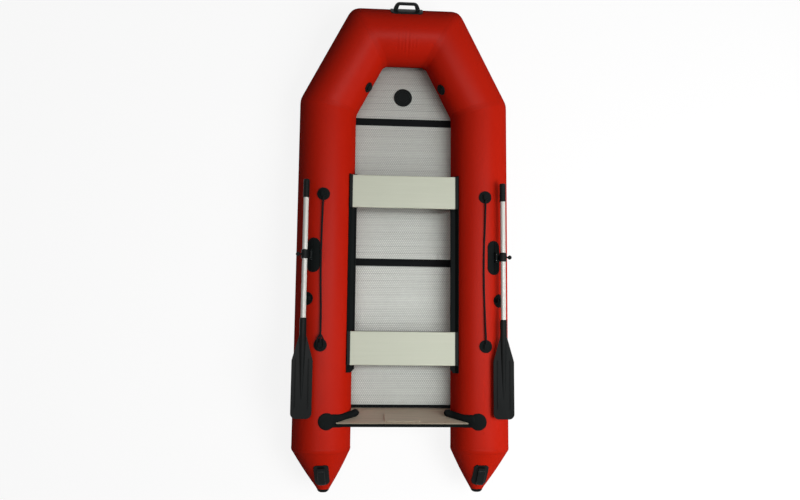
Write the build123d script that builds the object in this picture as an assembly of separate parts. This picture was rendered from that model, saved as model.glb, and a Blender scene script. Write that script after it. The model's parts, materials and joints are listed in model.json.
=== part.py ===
from build123d import *
from collections import namedtuple
import math
import os

# Inflatable boat with rigid aluminium floor, two sliding seats and a pair of stowed oars.
# Millimetres. +Y points to the bow, +X to starboard, +Z up. The origin is on the ground
# under the middle of the boat. Fore-and-aft places are stations, measured aft from the bow.

# Hull
HULL_LENGTH = 3562.0
TUBE_RADIUS = 210.0
TUBE_AXIS_X = 572.0
BOW_RISE = 65.0
BOW_CORNER_X = 280.0
SHOULDER_STATION = 750.0
CORNER_NOSE_PROUD = 19.0
CORNER_NOSE_INSET = 20.0
CONE_LENGTH = 267.0
CONE_END_RADIUS = 49.0
CONE_INSET = 22.0
CONE_BULGE = 5.0
CAP_PROUD = 1.5
CAP_LENGTH = 34.0
CAP_ROUNDING = 0.88
GLUE_GAP = 0.3

# Floor
FLOOR_TOP = 100.0
FLOOR_THICKNESS = 18.0
FIRST_JOINT_STATION = 816.0
TRANSOM_AHEAD_OF_CONE = 269.0
PANEL_COUNT = 4
BOW_PANEL_FRONT_STATION = 372.0
JOINT_FLANGE_WIDTH = 56.0
JOINT_FLANGE_THICKNESS = 3.0
JOINT_WEB = 6.0
END_STRIP_WIDTH = 22.0
KEEL_COVER_STATION = 617.0
KEEL_COVER_RADIUS = 70.0
KEEL_COVER_HEIGHT = 9.0
KEEL_COVER_CHAMFER = 3.0
KEEL_COVER_RING_RADIUS = 47.0
KEEL_COVER_RING_WIDTH = 7.0

# Bottom skin
SKIN_THICKNESS = 6.0
SKIN_EDGE_Z = 32.0
SKIN_KEEL_Z = 10.0
SKIN_INSET = 92.0
SKIN_BOW_SETBACK = 94.5
STRAKE_WIDTH = 46.0
STRAKE_FLAT = 27.6
STRAKE_THICKNESS = 5.0

# Transom
TRANSOM_RAKE = 14.0
TRANSOM_THICKNESS = 26.0
TRANSOM_BELOW_TUBES = 22.0
TRIM_WALL = 4.0
TRIM_DEPTH = 20.0
TRIM_OVERLAP = 103.0
TRIM_ROUNDING = 3.6
MOTOR_PAD_WIDTH = 245.0
MOTOR_PAD_HEIGHT = 150.0
MOTOR_PAD_THICKNESS = 8.0
MOTOR_PAD_CORNER = 12.0
HOLDER_PAD_RADIUS = 62.0
HOLDER_ANGLE = 101.0
HOLDER_ARM_REACH = 57.0
HOLDER_ARM_HEIGHT = 58.0
HOLDER_FRONT_THICKNESS = 34.0
HOLDER_BACK_THICKNESS = 14.0
HOLDER_ARM_RISE = 100.0
DRAIN_X = 210.0
DRAIN_Z = 140.0
DRAIN_RADIUS = 30.0
DRAIN_PLUG_RADIUS = 16.5
DRAIN_FLANGE = 8.0

# Rubber pads glued to the tubes
PAD_THICKNESS = 6.0

# Seats and their rails
SEAT_DEPTH = 240.0
SEAT_THICKNESS = 18.0
SEAT_OVERLAP = 17.0
SEAT_EDGE_RADIUS = 6.0
SEAT_SKIN = 8.0
SEAT_RIM = 18.0
SEAT_RIB = 6.0
SEAT_RIB_COUNT = 3
SEAT_END_SOLID = 64.0
FRONT_SEAT_STATION = 1288.0
REAR_SEAT_AHEAD_OF_TRANSOM = 567.0
RAIL_AHEAD_OF_SEAT = 10.0
RAIL_AHEAD_OF_TRANSOM = 274.0
RAIL_RISE = 98.0
RAIL_FLANGE_THICKNESS = 6.0
RAIL_OVERHANG = 10.0
RAIL_BEAD_RADIUS = 7.0
RAIL_STRIP_LOW = 17.0
RAIL_STRIP_HIGH = 37.0
RAIL_CHAMFER = 26.0
SHOE_CLEARANCE = 0.6
SHOE_WALL = 7.0
SHOE_REACH = 18.0
SHOE_FLOOR = 12.0
SHOE_TUBE_CLEARANCE = 6.0
SHOE_LIP = 3.0
SHOE_LIP_LENGTH = 3.0

# Oars
OAR_OUTBOARD_OF_ROD = 41.9
OAR_ABOVE_ROD = 28.2
SHAFT_RADIUS = 18.0
GRIP_RADIUS = 22.0
OAR_FRONT_STATION = 1353.0
GRIP_LENGTH = 133.0
GRIP_KNOB = 14.0
GRIP_GROOVE_COUNT = 4
GRIP_GROOVE_PITCH = 26.6
GRIP_GROOVE_WIDTH = 4.0
GRIP_GROOVE_DEPTH = 2.0
SOCKET_STATION = 2337.0
SOCKET_RADIUS = 24.0
SOCKET_LENGTH = 120.0
SOCKET_ROUNDING = 4.0
BLADE_TAPER = 174.0
BLADE_LENGTH = 398.0
BLADE_WIDTH = 146.0
BLADE_THICKNESS = 8.0
BLADE_CORNER_RADIUS = 38.0
SPINE_SETBACK = 134.0
SPINE_END_HALF_WIDTH = 9.0
SPINE_END_HALF_HEIGHT = 5.0
BLADE_RIB_RADIUS = 4.0
BLADE_RIB_X = 45.0
BLADE_RIB_LEAD = 10.0
BLADE_RIB_SETBACK = 70.0

# Rowlocks
ROWLOCK_STATION = 1890.0
POST_TILT = 20.0
POST_RADIUS = 7.0
POST_FIT = 0.3
POST_TOP = 24.0
COLLAR_WALL = 7.0
COLLAR_LENGTH = 64.0
HUB_RADIUS = 15.0
HUB_BOTTOM = 33.0
ARM_GAP = 1.0
ARM_THICKNESS = 12.0
ARM_WIDTH = 34.0
ROD_ANGLE = 66.5
ROD_RISE = 21.0
ROD_RADIUS = 5.0
ROD_FIT = 0.3
BARREL_RADIUS = 10.0
BARREL_LENGTH = 40.0
LUG_GAP = 1.0
LUG_THICKNESS = 15.0
LUG_RADIUS = 11.0
ROWLOCK_PAD_LENGTH = 247.0
ROWLOCK_PAD_WIDTH = 96.0
ROWLOCK_PAD_ANGLE = 69.1
KNOB_RADIUS = 15.0
KNOB_REACH = 48.0
KNOB_NECK_RADIUS = 6.0

# Oar clips
CLIP_STATION = 2200.0
CLIP_PAD_RADIUS = 47.0
CLIP_ANGLE = 57.0
CLIP_LENGTH = 26.0
CLIP_GAP = 2.0
CLIP_OUTER_LIP = 27.0
CLIP_OUTER_EDGE = 5.0
CLIP_INNER_LIP = 28.0
CLIP_LIP_THICKNESS = 6.0
CLIP_LIP_RISE = 8.0
CLIP_FOOT_DEPTH = 64.0

# Grab lines
FRONT_ANCHOR_STATION = 1451.0
AFT_ANCHOR_AHEAD_OF_TRANSOM = 467.0
ANCHOR_RADIUS = 46.0
ANCHOR_ANGLE = 86.5
ANCHOR_BOSS_LENGTH = 34.0
ANCHOR_BOSS_WIDTH = 30.0
ANCHOR_BOSS_HEIGHT = 26.0
ANCHOR_BOSS_CORNER = 4.0
LINE_RADIUS = 6.0
LINE_GAP = 0.4
LINE_END_RISE = 17.0
LINE_BEND_SHARE = 0.45

# Handles
Handle = namedtuple("Handle", "pad_length pad_width grip_length grip_height bar grip_width")
BOW_HANDLE = Handle(pad_length=240.0, pad_width=112.0, grip_length=194.0, grip_height=62.0, bar=20.0,
                    grip_width=34.0)
BOW_HANDLE_ANGLE = 40.0
SIDE_HANDLE = Handle(pad_length=205.0, pad_width=86.0, grip_length=168.0, grip_height=44.0, bar=15.0,
                     grip_width=30.0)
SIDE_HANDLE_SHARE = 0.50
SIDE_HANDLE_ANGLE = -30.0
STERN_HANDLE = Handle(pad_length=174.0, pad_width=104.0, grip_length=142.0, grip_height=40.0, bar=15.0,
                      grip_width=52.0)
STERN_HANDLE_AFT_OF_CONE = 167.0
HANDLE_PAD_CORNER = 26.0
GRIP_FOOT = 1.6
GRIP_ROUNDING = 0.45

# Air valves
VALVE_SHARE = 0.44
VALVE_ANGLE = 20.0
VALVE_RADIUS = 40.0
VALVE_FLANGE = 7.0
VALVE_SINK = 26.0
VALVE_FLANGE_CHAMFER = 3.0
VALVE_CAP_RADIUS = 27.0
VALVE_CAP_HEIGHT = 17.0
VALVE_CAP_SIDES = 12

# Places that follow from the sizes above
CONE_STATION = HULL_LENGTH - CAP_LENGTH - CONE_LENGTH
TRANSOM_STATION = CONE_STATION - TRANSOM_AHEAD_OF_CONE
AFT_ANCHOR_STATION = TRANSOM_STATION - AFT_ANCHOR_AHEAD_OF_TRANSOM
PANEL_PITCH = (TRANSOM_STATION - FIRST_JOINT_STATION) / PANEL_COUNT
INNER_WALL_X = TUBE_AXIS_X - TUBE_RADIUS
SKIN_EDGE_X = TUBE_AXIS_X - SKIN_INSET
TRANSOM_TOP_Z = 2 * TUBE_RADIUS - TRANSOM_BELOW_TUBES
TRIM_HALF_WIDTH = INNER_WALL_X + TRIM_OVERLAP
HOLDER_ARM_Z = TUBE_RADIUS + HOLDER_ARM_RISE
SEAT_STATIONS = {"front": FRONT_SEAT_STATION, "rear": TRANSOM_STATION - REAR_SEAT_AHEAD_OF_TRANSOM}
SEAT_HALF_LENGTH = INNER_WALL_X + SEAT_OVERLAP
RAIL_START_STATION = FRONT_SEAT_STATION - RAIL_AHEAD_OF_SEAT
RAIL_LENGTH = TRANSOM_STATION - RAIL_AHEAD_OF_TRANSOM - RAIL_START_STATION
RAIL_FLANGE_Z = TUBE_RADIUS + RAIL_RISE
RAIL_EDGE_X = INNER_WALL_X - RAIL_OVERHANG
SEAT_BOTTOM = RAIL_FLANGE_Z + RAIL_BEAD_RADIUS + SHOE_CLEARANCE + SHOE_FLOOR
BLADE_NECK_STATION = SOCKET_STATION + SOCKET_LENGTH
BLADE_FULL_STATION = BLADE_NECK_STATION + BLADE_TAPER
BLADE_END_STATION = BLADE_FULL_STATION + BLADE_LENGTH
ROD_X = TUBE_AXIS_X + (TUBE_RADIUS + ROD_RISE) * math.cos(math.radians(ROD_ANGLE))
ROD_Z = TUBE_RADIUS + (TUBE_RADIUS + ROD_RISE) * math.sin(math.radians(ROD_ANGLE))
OAR_X = ROD_X + OAR_OUTBOARD_OF_ROD
OAR_Z = ROD_Z + OAR_ABOVE_ROD
UP = Vector(0, 0, 1)


def bow_overhang():
    rounding = GRIP_ROUNDING * BOW_HANDLE.bar
    angle = math.radians(BOW_HANDLE_ANGLE)
    outer = TUBE_RADIUS + BOW_HANDLE.grip_height - rounding
    flank = BOW_HANDLE.grip_width / 2 - rounding
    return outer * math.cos(angle) + flank * math.sin(angle) + rounding - TUBE_RADIUS


def at(station):
    return (HULL_LENGTH - bow_overhang()) / 2 - station


BOW_AXIS_Y = at(TUBE_RADIUS)
SHOULDER = Vector(TUBE_AXIS_X, at(SHOULDER_STATION), TUBE_RADIUS)
CORNER = Vector(BOW_CORNER_X, BOW_AXIS_Y, TUBE_RADIUS + BOW_RISE)
STERN = Vector(TUBE_AXIS_X, at(CONE_STATION), TUBE_RADIUS)
FAR_CORNER = Vector(-BOW_CORNER_X, BOW_AXIS_Y, TUBE_RADIUS + BOW_RISE)
AHEAD = Vector(0, 1, 0)
SLANT = (CORNER - SHOULDER).normalized()
ACROSS = Vector(-1, 0, 0)


def cylinder_between(start, end, radius, extra=0.0):
    direction = (end - start).normalized()
    place = Plane(origin=(start + end) * 0.5, z_dir=direction)
    return place.location * Cylinder(radius, (end - start).length + 2 * extra)


def bisector(first, second):
    return (first + second).normalized()


# Hull tubes, mitred where they meet

def corner_nose():
    outward = (SLANT.cross(UP).normalized() + AHEAD).normalized()
    start = Plane(origin=CORNER + outward * (TUBE_RADIUS - CORNER_NOSE_INSET), z_dir=outward)
    beyond = extrude(start * Rectangle(TUBE_RADIUS * 3, TUBE_RADIUS * 3), amount=TUBE_RADIUS)
    return beyond - Pos(*CORNER) * Sphere(TUBE_RADIUS + CORNER_NOSE_PROUD)


def side_tube(radius=TUBE_RADIUS):
    tube = cylinder_between(STERN, SHOULDER + AHEAD * radius, radius)
    cut = Plane(origin=SHOULDER, z_dir=bisector(AHEAD, SLANT))
    return split(tube, bisect_by=cut, keep=Keep.BOTTOM)


def bow_tube(radius=TUBE_RADIUS):
    tube = cylinder_between(SHOULDER, CORNER, radius, extra=2 * radius)
    tube = split(tube, bisect_by=Plane(origin=SHOULDER, z_dir=bisector(AHEAD, SLANT)), keep=Keep.TOP)
    tube = split(tube, bisect_by=Plane(origin=CORNER, z_dir=bisector(SLANT, ACROSS)), keep=Keep.BOTTOM)
    return tube - corner_nose()


def bow_cross_tube(radius=TUBE_RADIUS):
    tube = cylinder_between(CORNER, FAR_CORNER, radius, extra=2 * radius)
    cut = Plane(origin=CORNER, z_dir=bisector(SLANT, ACROSS))
    tube = split(tube, bisect_by=cut, keep=Keep.TOP) - corner_nose()
    tube = split(mirror(tube, about=Plane.YZ), bisect_by=cut, keep=Keep.TOP)
    return tube - corner_nose()


def long_side_tube(radius):
    return cylinder_between(STERN - AHEAD * radius, SHOULDER + AHEAD * radius, radius)


def hull_clearance(gap):
    radius = TUBE_RADIUS + gap
    half = cylinder_between(STERN, SHOULDER + AHEAD * radius, radius)
    half += cylinder_between(SHOULDER, CORNER, radius, extra=radius / 2)
    return half + mirror(half, about=Plane.YZ) + cylinder_between(CORNER, FAR_CORNER, radius)


def cone_section(share, radius):
    lean = Vector(-CONE_INSET, -CONE_LENGTH, 0)
    return Plane(origin=STERN + lean * share, x_dir=(1, 0, 0), z_dir=(0, -1, 0)) * Circle(radius)


def cone_solid(extra=0.0):
    base = TUBE_RADIUS + extra
    tip = CONE_END_RADIUS + extra
    middle = (base + tip) / 2 + CONE_BULGE
    return loft([cone_section(0, base), cone_section(0.5, middle), cone_section(1, tip)])


def cone_cap():
    cap = extrude(cone_section(1, CONE_END_RADIUS + CAP_PROUD), amount=CAP_LENGTH)
    return fillet(cap.edges().sort_by(Axis.Y)[:1], CAP_LENGTH * CAP_ROUNDING)


# Places on a tube: along its axis, at an angle above its outboard side

def surface_plane(axis_point, direction, angle, inboard=False):
    outboard = direction.cross(UP).normalized()
    if inboard:
        outboard = outboard * -1
    rise = UP - direction * UP.dot(direction)
    rise = rise.normalized()
    normal = outboard * math.cos(math.radians(angle)) + rise * math.sin(math.radians(angle))
    return Plane(origin=axis_point + normal * TUBE_RADIUS, x_dir=direction, z_dir=normal)


def side_plane(station, angle):
    return surface_plane(Vector(TUBE_AXIS_X, at(station), TUBE_RADIUS), AHEAD, angle)


def skin_pad(plane, outline, inner, outer):
    column = extrude(plane * outline, amount=TUBE_RADIUS / 2, both=True)
    return column & (outer - inner)


def grip_profile(sizes, sunk):
    half = sizes.grip_length / 2
    brow = half - sizes.bar
    outside = make_face(Polyline((-half, sunk), (half, sunk), (half, sizes.bar), (brow, sizes.grip_height),
                                 (-brow, sizes.grip_height), (-half, sizes.bar), close=True))
    outside = fillet(outside.vertices().group_by(Axis.Y)[-1], 2 * sizes.bar)
    foot = half - GRIP_FOOT * sizes.bar
    gap_brow = brow - sizes.bar
    gap_top = sizes.grip_height - sizes.bar
    gap = make_face(Polyline((-foot, sunk), (foot, sunk), (foot, sizes.bar / 2), (gap_brow, gap_top),
                             (-gap_brow, gap_top), (-foot, sizes.bar / 2), close=True))
    return outside - fillet(gap.vertices().group_by(Axis.Y)[-1], sizes.bar / 2)


def grab_handle(plane, sizes, inner, outer):
    outline = RectangleRounded(sizes.pad_length, sizes.pad_width, HANDLE_PAD_CORNER)
    pad = skin_pad(plane, outline, inner, outer)
    upright = Plane(origin=plane.origin, x_dir=plane.x_dir, z_dir=plane.x_dir.cross(plane.z_dir))
    sunk = -2 * sizes.bar
    half_width = sizes.grip_width / 2
    grip = extrude(upright * grip_profile(sizes, sunk), amount=half_width, both=True)
    flanks = []
    for edge in grip.edges():
        middle = edge.center() - plane.origin
        on_flank = abs(abs(middle.dot(upright.z_dir)) - half_width) < GLUE_GAP
        if on_flank and middle.dot(plane.z_dir) > sunk / 2:
            flanks.append(edge)
    grip = fillet(flanks, sizes.bar * GRIP_ROUNDING)
    return (pad + grip) - inner


def air_valve():
    point = SHOULDER + (CORNER - SHOULDER) * VALVE_SHARE
    plane = surface_plane(point, SLANT, VALVE_ANGLE, inboard=True)
    flange = extrude(plane.offset(-VALVE_SINK) * Circle(VALVE_RADIUS), amount=VALVE_SINK + VALVE_FLANGE)
    rim = flange.faces().sort_by(lambda face: face.center().dot(plane.z_dir))[-1].edges()
    flange = chamfer(rim, VALVE_FLANGE_CHAMFER)
    cap = extrude(plane * RegularPolygon(VALVE_CAP_RADIUS, VALVE_CAP_SIDES), amount=VALVE_CAP_HEIGHT)
    return (flange + cap) - cylinder_between(SHOULDER, CORNER, TUBE_RADIUS)


# Bottom skin: a shallow vee that runs up to the bow

def skin_section(y, half_width, edge_z, keel_z):
    outline = Polyline((-half_width, edge_z), (0, keel_z), (half_width, edge_z),
                       (half_width, edge_z + SKIN_THICKNESS), (0, keel_z + SKIN_THICKNESS),
                       (-half_width, edge_z + SKIN_THICKNESS), close=True)
    return Plane(origin=(0, y, 0), x_dir=(1, 0, 0), z_dir=(0, -1, 0)) * make_face(outline)


def bow_axis_x(y):
    share = (y - SHOULDER.Y) / (CORNER.Y - SHOULDER.Y)
    return SHOULDER.X + (CORNER.X - SHOULDER.X) * share


def bottom_skin():
    panel_y = at(BOW_PANEL_FRONT_STATION) + SKIN_THICKNESS
    front_y = BOW_AXIS_Y - SKIN_BOW_SETBACK
    panel_x = bow_axis_x(panel_y) - SKIN_INSET
    front_x = bow_axis_x(front_y) - SKIN_INSET
    under_floor = FLOOR_TOP - FLOOR_THICKNESS - 2 * SKIN_THICKNESS
    sections = [
        skin_section(transom_foot_y(), SKIN_EDGE_X, SKIN_EDGE_Z, SKIN_KEEL_Z),
        skin_section(SHOULDER.Y, SKIN_EDGE_X, SKIN_EDGE_Z, SKIN_KEEL_Z),
        skin_section(panel_y, panel_x, under_floor, under_floor - 3 * SKIN_THICKNESS),
        skin_section(front_y, front_x, FLOOR_TOP, FLOOR_TOP - SKIN_THICKNESS / 2),
    ]
    return loft(sections, ruled=True) - hull_clearance(GLUE_GAP)


def keel_strake():
    aft = transom_foot_y()
    length = SHOULDER.Y - aft
    slope = (SKIN_EDGE_Z - SKIN_KEEL_Z) / SKIN_EDGE_X
    half = STRAKE_WIDTH / 2
    side_z = SKIN_KEEL_Z + slope * half
    low_z = SKIN_KEEL_Z - STRAKE_THICKNESS
    outline = Polyline((-half, side_z), (0, SKIN_KEEL_Z), (half, side_z), (STRAKE_FLAT / 2, low_z),
                       (-STRAKE_FLAT / 2, low_z), close=True)
    place = Plane(origin=(0, aft, 0), x_dir=(-1, 0, 0), z_dir=(0, 1, 0))
    return extrude(place * make_face(outline), amount=length)


# Floor: embossed panels held end to end by black joint profiles

def joint_station(index):
    return FIRST_JOINT_STATION + index * PANEL_PITCH


def floor_end_y():
    depth = FLOOR_THICKNESS + JOINT_FLANGE_THICKNESS
    return transom_plane().origin.Y - transom_offset(FLOOR_TOP - depth) + GLUE_GAP


def slab(front_y, aft_y, low, high, half_width):
    size = Box(2 * half_width, front_y - aft_y, high - low)
    return Pos(0, (front_y + aft_y) / 2, (low + high) / 2) * size


def floor_panel(front_y, aft_y):
    return slab(front_y, aft_y, FLOOR_TOP - FLOOR_THICKNESS, FLOOR_TOP, TUBE_AXIS_X)


def floor_panels(walls):
    panels = {}
    front_y = at(BOW_PANEL_FRONT_STATION)
    aft_y = at(joint_station(0)) + JOINT_WEB / 2
    front_x = bow_axis_x(front_y)
    outline = Polyline((-TUBE_AXIS_X, aft_y), (TUBE_AXIS_X, aft_y), (TUBE_AXIS_X, SHOULDER.Y),
                       (front_x, front_y), (-front_x, front_y), (-TUBE_AXIS_X, SHOULDER.Y), close=True)
    bow = Pos(0, 0, FLOOR_TOP) * extrude(make_face(outline), amount=-FLOOR_THICKNESS)
    panels["bow_floor_panel"] = bow - walls
    for index in range(PANEL_COUNT):
        front_y = at(joint_station(index)) - JOINT_WEB / 2
        aft_y = at(joint_station(index + 1)) + JOINT_WEB / 2
        if index == PANEL_COUNT - 1:
            aft_y = floor_end_y() + JOINT_FLANGE_THICKNESS
        panels[f"floor_panel_{index + 1}"] = floor_panel(front_y, aft_y) - walls
    return panels


def floor_joint(index, walls):
    y = at(joint_station(index))
    low = FLOOR_TOP - FLOOR_THICKNESS
    reach = JOINT_FLANGE_WIDTH / 2
    top = slab(y + reach, y - reach, FLOOR_TOP, FLOOR_TOP + JOINT_FLANGE_THICKNESS, TUBE_AXIS_X)
    web = slab(y + JOINT_WEB / 2, y - JOINT_WEB / 2, low, FLOOR_TOP, TUBE_AXIS_X)
    foot = slab(y + reach, y - reach, low - JOINT_FLANGE_THICKNESS, low, TUBE_AXIS_X)
    return (top + web + foot) - walls


def floor_end_strip(walls):
    y = floor_end_y()
    low = FLOOR_TOP - FLOOR_THICKNESS
    skin = JOINT_FLANGE_THICKNESS
    top = slab(y + END_STRIP_WIDTH, y, FLOOR_TOP, FLOOR_TOP + skin, TUBE_AXIS_X)
    back = slab(y + skin, y, low - skin, FLOOR_TOP, TUBE_AXIS_X)
    foot = slab(y + END_STRIP_WIDTH, y + skin, low - skin, low, TUBE_AXIS_X)
    return (top + back + foot) - walls


def keel_valve_cover():
    disc = extrude(Circle(KEEL_COVER_RADIUS), amount=KEEL_COVER_HEIGHT)
    disc = chamfer(disc.faces().sort_by(Axis.Z)[-1].edges(), KEEL_COVER_CHAMFER)
    ring_outside = KEEL_COVER_RING_RADIUS + KEEL_COVER_RING_WIDTH / 2
    ring = Circle(ring_outside) - Circle(ring_outside - KEEL_COVER_RING_WIDTH)
    disc -= Pos(0, 0, KEEL_COVER_HEIGHT / 2) * extrude(ring, amount=KEEL_COVER_HEIGHT)
    return Pos(0, at(KEEL_COVER_STATION), FLOOR_TOP) * disc


# Transom: a raked board between the tubes

def transom_plane():
    foot = Vector(0, at(joint_station(PANEL_COUNT)) + JOINT_WEB, FLOOR_TOP)
    rake = math.radians(TRANSOM_RAKE)
    return Plane(origin=foot, x_dir=(1, 0, 0), z_dir=(0, -math.cos(rake), -math.sin(rake)))


def transom_offset(z):
    return (z - FLOOR_TOP) * math.tan(math.radians(TRANSOM_RAKE))


def transom_foot_y():
    return transom_plane().origin.Y - transom_offset(SKIN_KEEL_Z) - TRANSOM_THICKNESS


def up_board(z):
    return (z - FLOOR_TOP) / math.cos(math.radians(TRANSOM_RAKE))


def transom_block():
    slope = (SKIN_EDGE_Z - SKIN_KEEL_Z) / SKIN_EDGE_X
    heel = TRANSOM_THICKNESS * math.sin(math.radians(TRANSOM_RAKE))
    keel = SKIN_KEEL_Z + SKIN_THICKNESS + GLUE_GAP + heel
    top = up_board(TRANSOM_TOP_Z)
    bilge = up_board(keel + slope * TUBE_AXIS_X)
    outline = Polyline((-TUBE_AXIS_X, top), (TUBE_AXIS_X, top), (TUBE_AXIS_X, bilge), (0, up_board(keel)),
                       (-TUBE_AXIS_X, bilge), close=True)
    return extrude(transom_plane() * make_face(outline), amount=TRANSOM_THICKNESS)


def transom_board():
    middle = Pos(0, transom_foot_y(), TUBE_RADIUS) * Box(2 * TUBE_AXIS_X, TUBE_RADIUS * 2, TUBE_RADIUS * 3)
    return (transom_block() & middle) - hull_clearance(GLUE_GAP)


def trim_block(gap=0.0):
    top = up_board(TRANSOM_TOP_Z)
    wall = TRIM_WALL + gap
    outer = Rectangle(2 * (TRIM_HALF_WIDTH + gap), TRIM_DEPTH + TRIM_WALL + 2 * gap)
    outer = Pos(0, top - TRIM_DEPTH / 2 + TRIM_WALL / 2) * outer
    block = extrude(transom_plane().offset(-wall) * outer, amount=TRANSOM_THICKNESS + 2 * wall)
    crown = block.edges().filter_by(Axis.X).sort_by(Axis.Z)[-2:]
    return fillet(crown, TRIM_ROUNDING)


def transom_trim():
    return trim_block() - transom_block() - hull_clearance(GLUE_GAP)


def motor_pad(face_offset, outward):
    plane = transom_plane().offset(face_offset)
    middle = up_board(TRANSOM_TOP_Z) - TRIM_DEPTH - MOTOR_PAD_HEIGHT / 2
    outline = plane * (Pos(0, middle) * RectangleRounded(MOTOR_PAD_WIDTH, MOTOR_PAD_HEIGHT, MOTOR_PAD_CORNER))
    return extrude(outline, amount=outward * MOTOR_PAD_THICKNESS)


def transom_holder():
    plane = transom_plane()
    board_y = plane.origin.Y - transom_offset(TRANSOM_TOP_Z) - TRANSOM_THICKNESS / 2
    pad_plane = surface_plane(Vector(TUBE_AXIS_X, board_y, TUBE_RADIUS), AHEAD, HOLDER_ANGLE)
    inner = long_side_tube(TUBE_RADIUS)
    outer = long_side_tube(TUBE_RADIUS + PAD_THICKNESS)
    pad = skin_pad(pad_plane, Circle(HOLDER_PAD_RADIUS), inner, outer)
    nose_x = INNER_WALL_X - HOLDER_ARM_REACH + HOLDER_ARM_HEIGHT / 2
    middle = up_board(HOLDER_ARM_Z)
    top = up_board(2 * TUBE_RADIUS)
    low = middle - HOLDER_ARM_HEIGHT / 2
    high = middle + HOLDER_ARM_HEIGHT / 2
    cheek = make_face(Polyline((nose_x, low), (TUBE_AXIS_X, low), (TUBE_AXIS_X, top), (INNER_WALL_X, top),
                               (INNER_WALL_X, high), (nose_x, high), close=True))
    cheek += Pos(nose_x, middle) * Circle(HOLDER_ARM_HEIGHT / 2)
    front = extrude(plane * cheek, amount=-HOLDER_FRONT_THICKNESS)
    back = extrude(plane.offset(TRANSOM_THICKNESS) * cheek, amount=HOLDER_BACK_THICKNESS)
    band = long_side_tube(TUBE_RADIUS + PAD_THICKNESS + HOLDER_BACK_THICKNESS)
    spill_z = HOLDER_ARM_Z + HOLDER_ARM_HEIGHT / 2 + TUBE_RADIUS
    spill = Pos(TUBE_AXIS_X, board_y, spill_z) * Box(2 * TUBE_RADIUS, 2 * TUBE_RADIUS, 2 * TUBE_RADIUS)
    cheeks = (front + back) - inner - (spill - band)
    return (pad - transom_block()) + (cheeks - trim_block(GLUE_GAP))


def transom_drain():
    spot = Pos(DRAIN_X, up_board(DRAIN_Z))
    face = transom_plane().offset(TRANSOM_THICKNESS)
    body = extrude(face * (spot * Circle(DRAIN_RADIUS)), amount=DRAIN_FLANGE)
    plug = spot * RegularPolygon(DRAIN_PLUG_RADIUS, 6)
    return body + extrude(face * plug, amount=2 * DRAIN_FLANGE)


# Seat rails and sliding seats

def along_hull(section, start_station, length):
    place = Plane(origin=(0, at(start_station), 0), x_dir=(1, 0, 0), z_dir=(0, -1, 0))
    return extrude(place * section, amount=length)


def rail_strip(low, high, thickness):
    centre = (TUBE_AXIS_X, TUBE_RADIUS)
    ring = Circle(TUBE_RADIUS + thickness) - Circle(TUBE_RADIUS)
    span = 2 * TUBE_RADIUS
    wedge = Polyline((0, 0), (-span * math.cos(math.radians(low)), span * math.sin(math.radians(low))),
                     (-span * math.cos(math.radians(high)), span * math.sin(math.radians(high))), close=True)
    return Pos(*centre) * (ring & make_face(wedge))


def seat_rail():
    strip = rail_strip(RAIL_STRIP_LOW, RAIL_STRIP_HIGH, PAD_THICKNESS)
    width = TUBE_AXIS_X - RAIL_EDGE_X
    flange = Pos(RAIL_EDGE_X + width / 2, RAIL_FLANGE_Z) * Rectangle(width, RAIL_FLANGE_THICKNESS)
    flange -= Pos(TUBE_AXIS_X, TUBE_RADIUS) * Circle(TUBE_RADIUS)
    bead = Pos(RAIL_EDGE_X, RAIL_FLANGE_Z) * Circle(RAIL_BEAD_RADIUS)
    rail = along_hull(strip + flange + bead, RAIL_START_STATION, RAIL_LENGTH)
    aft_y = at(RAIL_START_STATION + RAIL_LENGTH)
    corner_x = RAIL_EDGE_X - RAIL_BEAD_RADIUS
    corner = make_face(Polyline((corner_x, aft_y), (corner_x + RAIL_CHAMFER, aft_y),
                                (corner_x, aft_y + RAIL_CHAMFER), close=True))
    return rail - Pos(0, 0, RAIL_FLANGE_Z) * extrude(corner, amount=RAIL_BEAD_RADIUS * 2, both=True)


def seat_board(station):
    board = Box(2 * SEAT_HALF_LENGTH, SEAT_DEPTH, SEAT_THICKNESS)
    board = fillet(board.edges().filter_by(Axis.X), SEAT_EDGE_RADIUS)
    hollow_length = 2 * (SEAT_HALF_LENGTH - SEAT_END_SOLID)
    hollow_width = SEAT_DEPTH - 2 * SEAT_RIM
    depth = SEAT_THICKNESS - SEAT_SKIN
    middle_z = (depth - SEAT_THICKNESS) / 2
    board -= Pos(0, 0, middle_z) * Box(hollow_length, hollow_width, depth)
    spacing = hollow_width / (SEAT_RIB_COUNT + 1)
    for index in range(SEAT_RIB_COUNT):
        rib_y = (index + 1) * spacing - hollow_width / 2
        board += Pos(0, rib_y, middle_z) * Box(hollow_length, SEAT_RIB, depth)
    return Pos(0, at(station) - SEAT_DEPTH / 2, SEAT_BOTTOM + SEAT_THICKNESS / 2) * board


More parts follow.
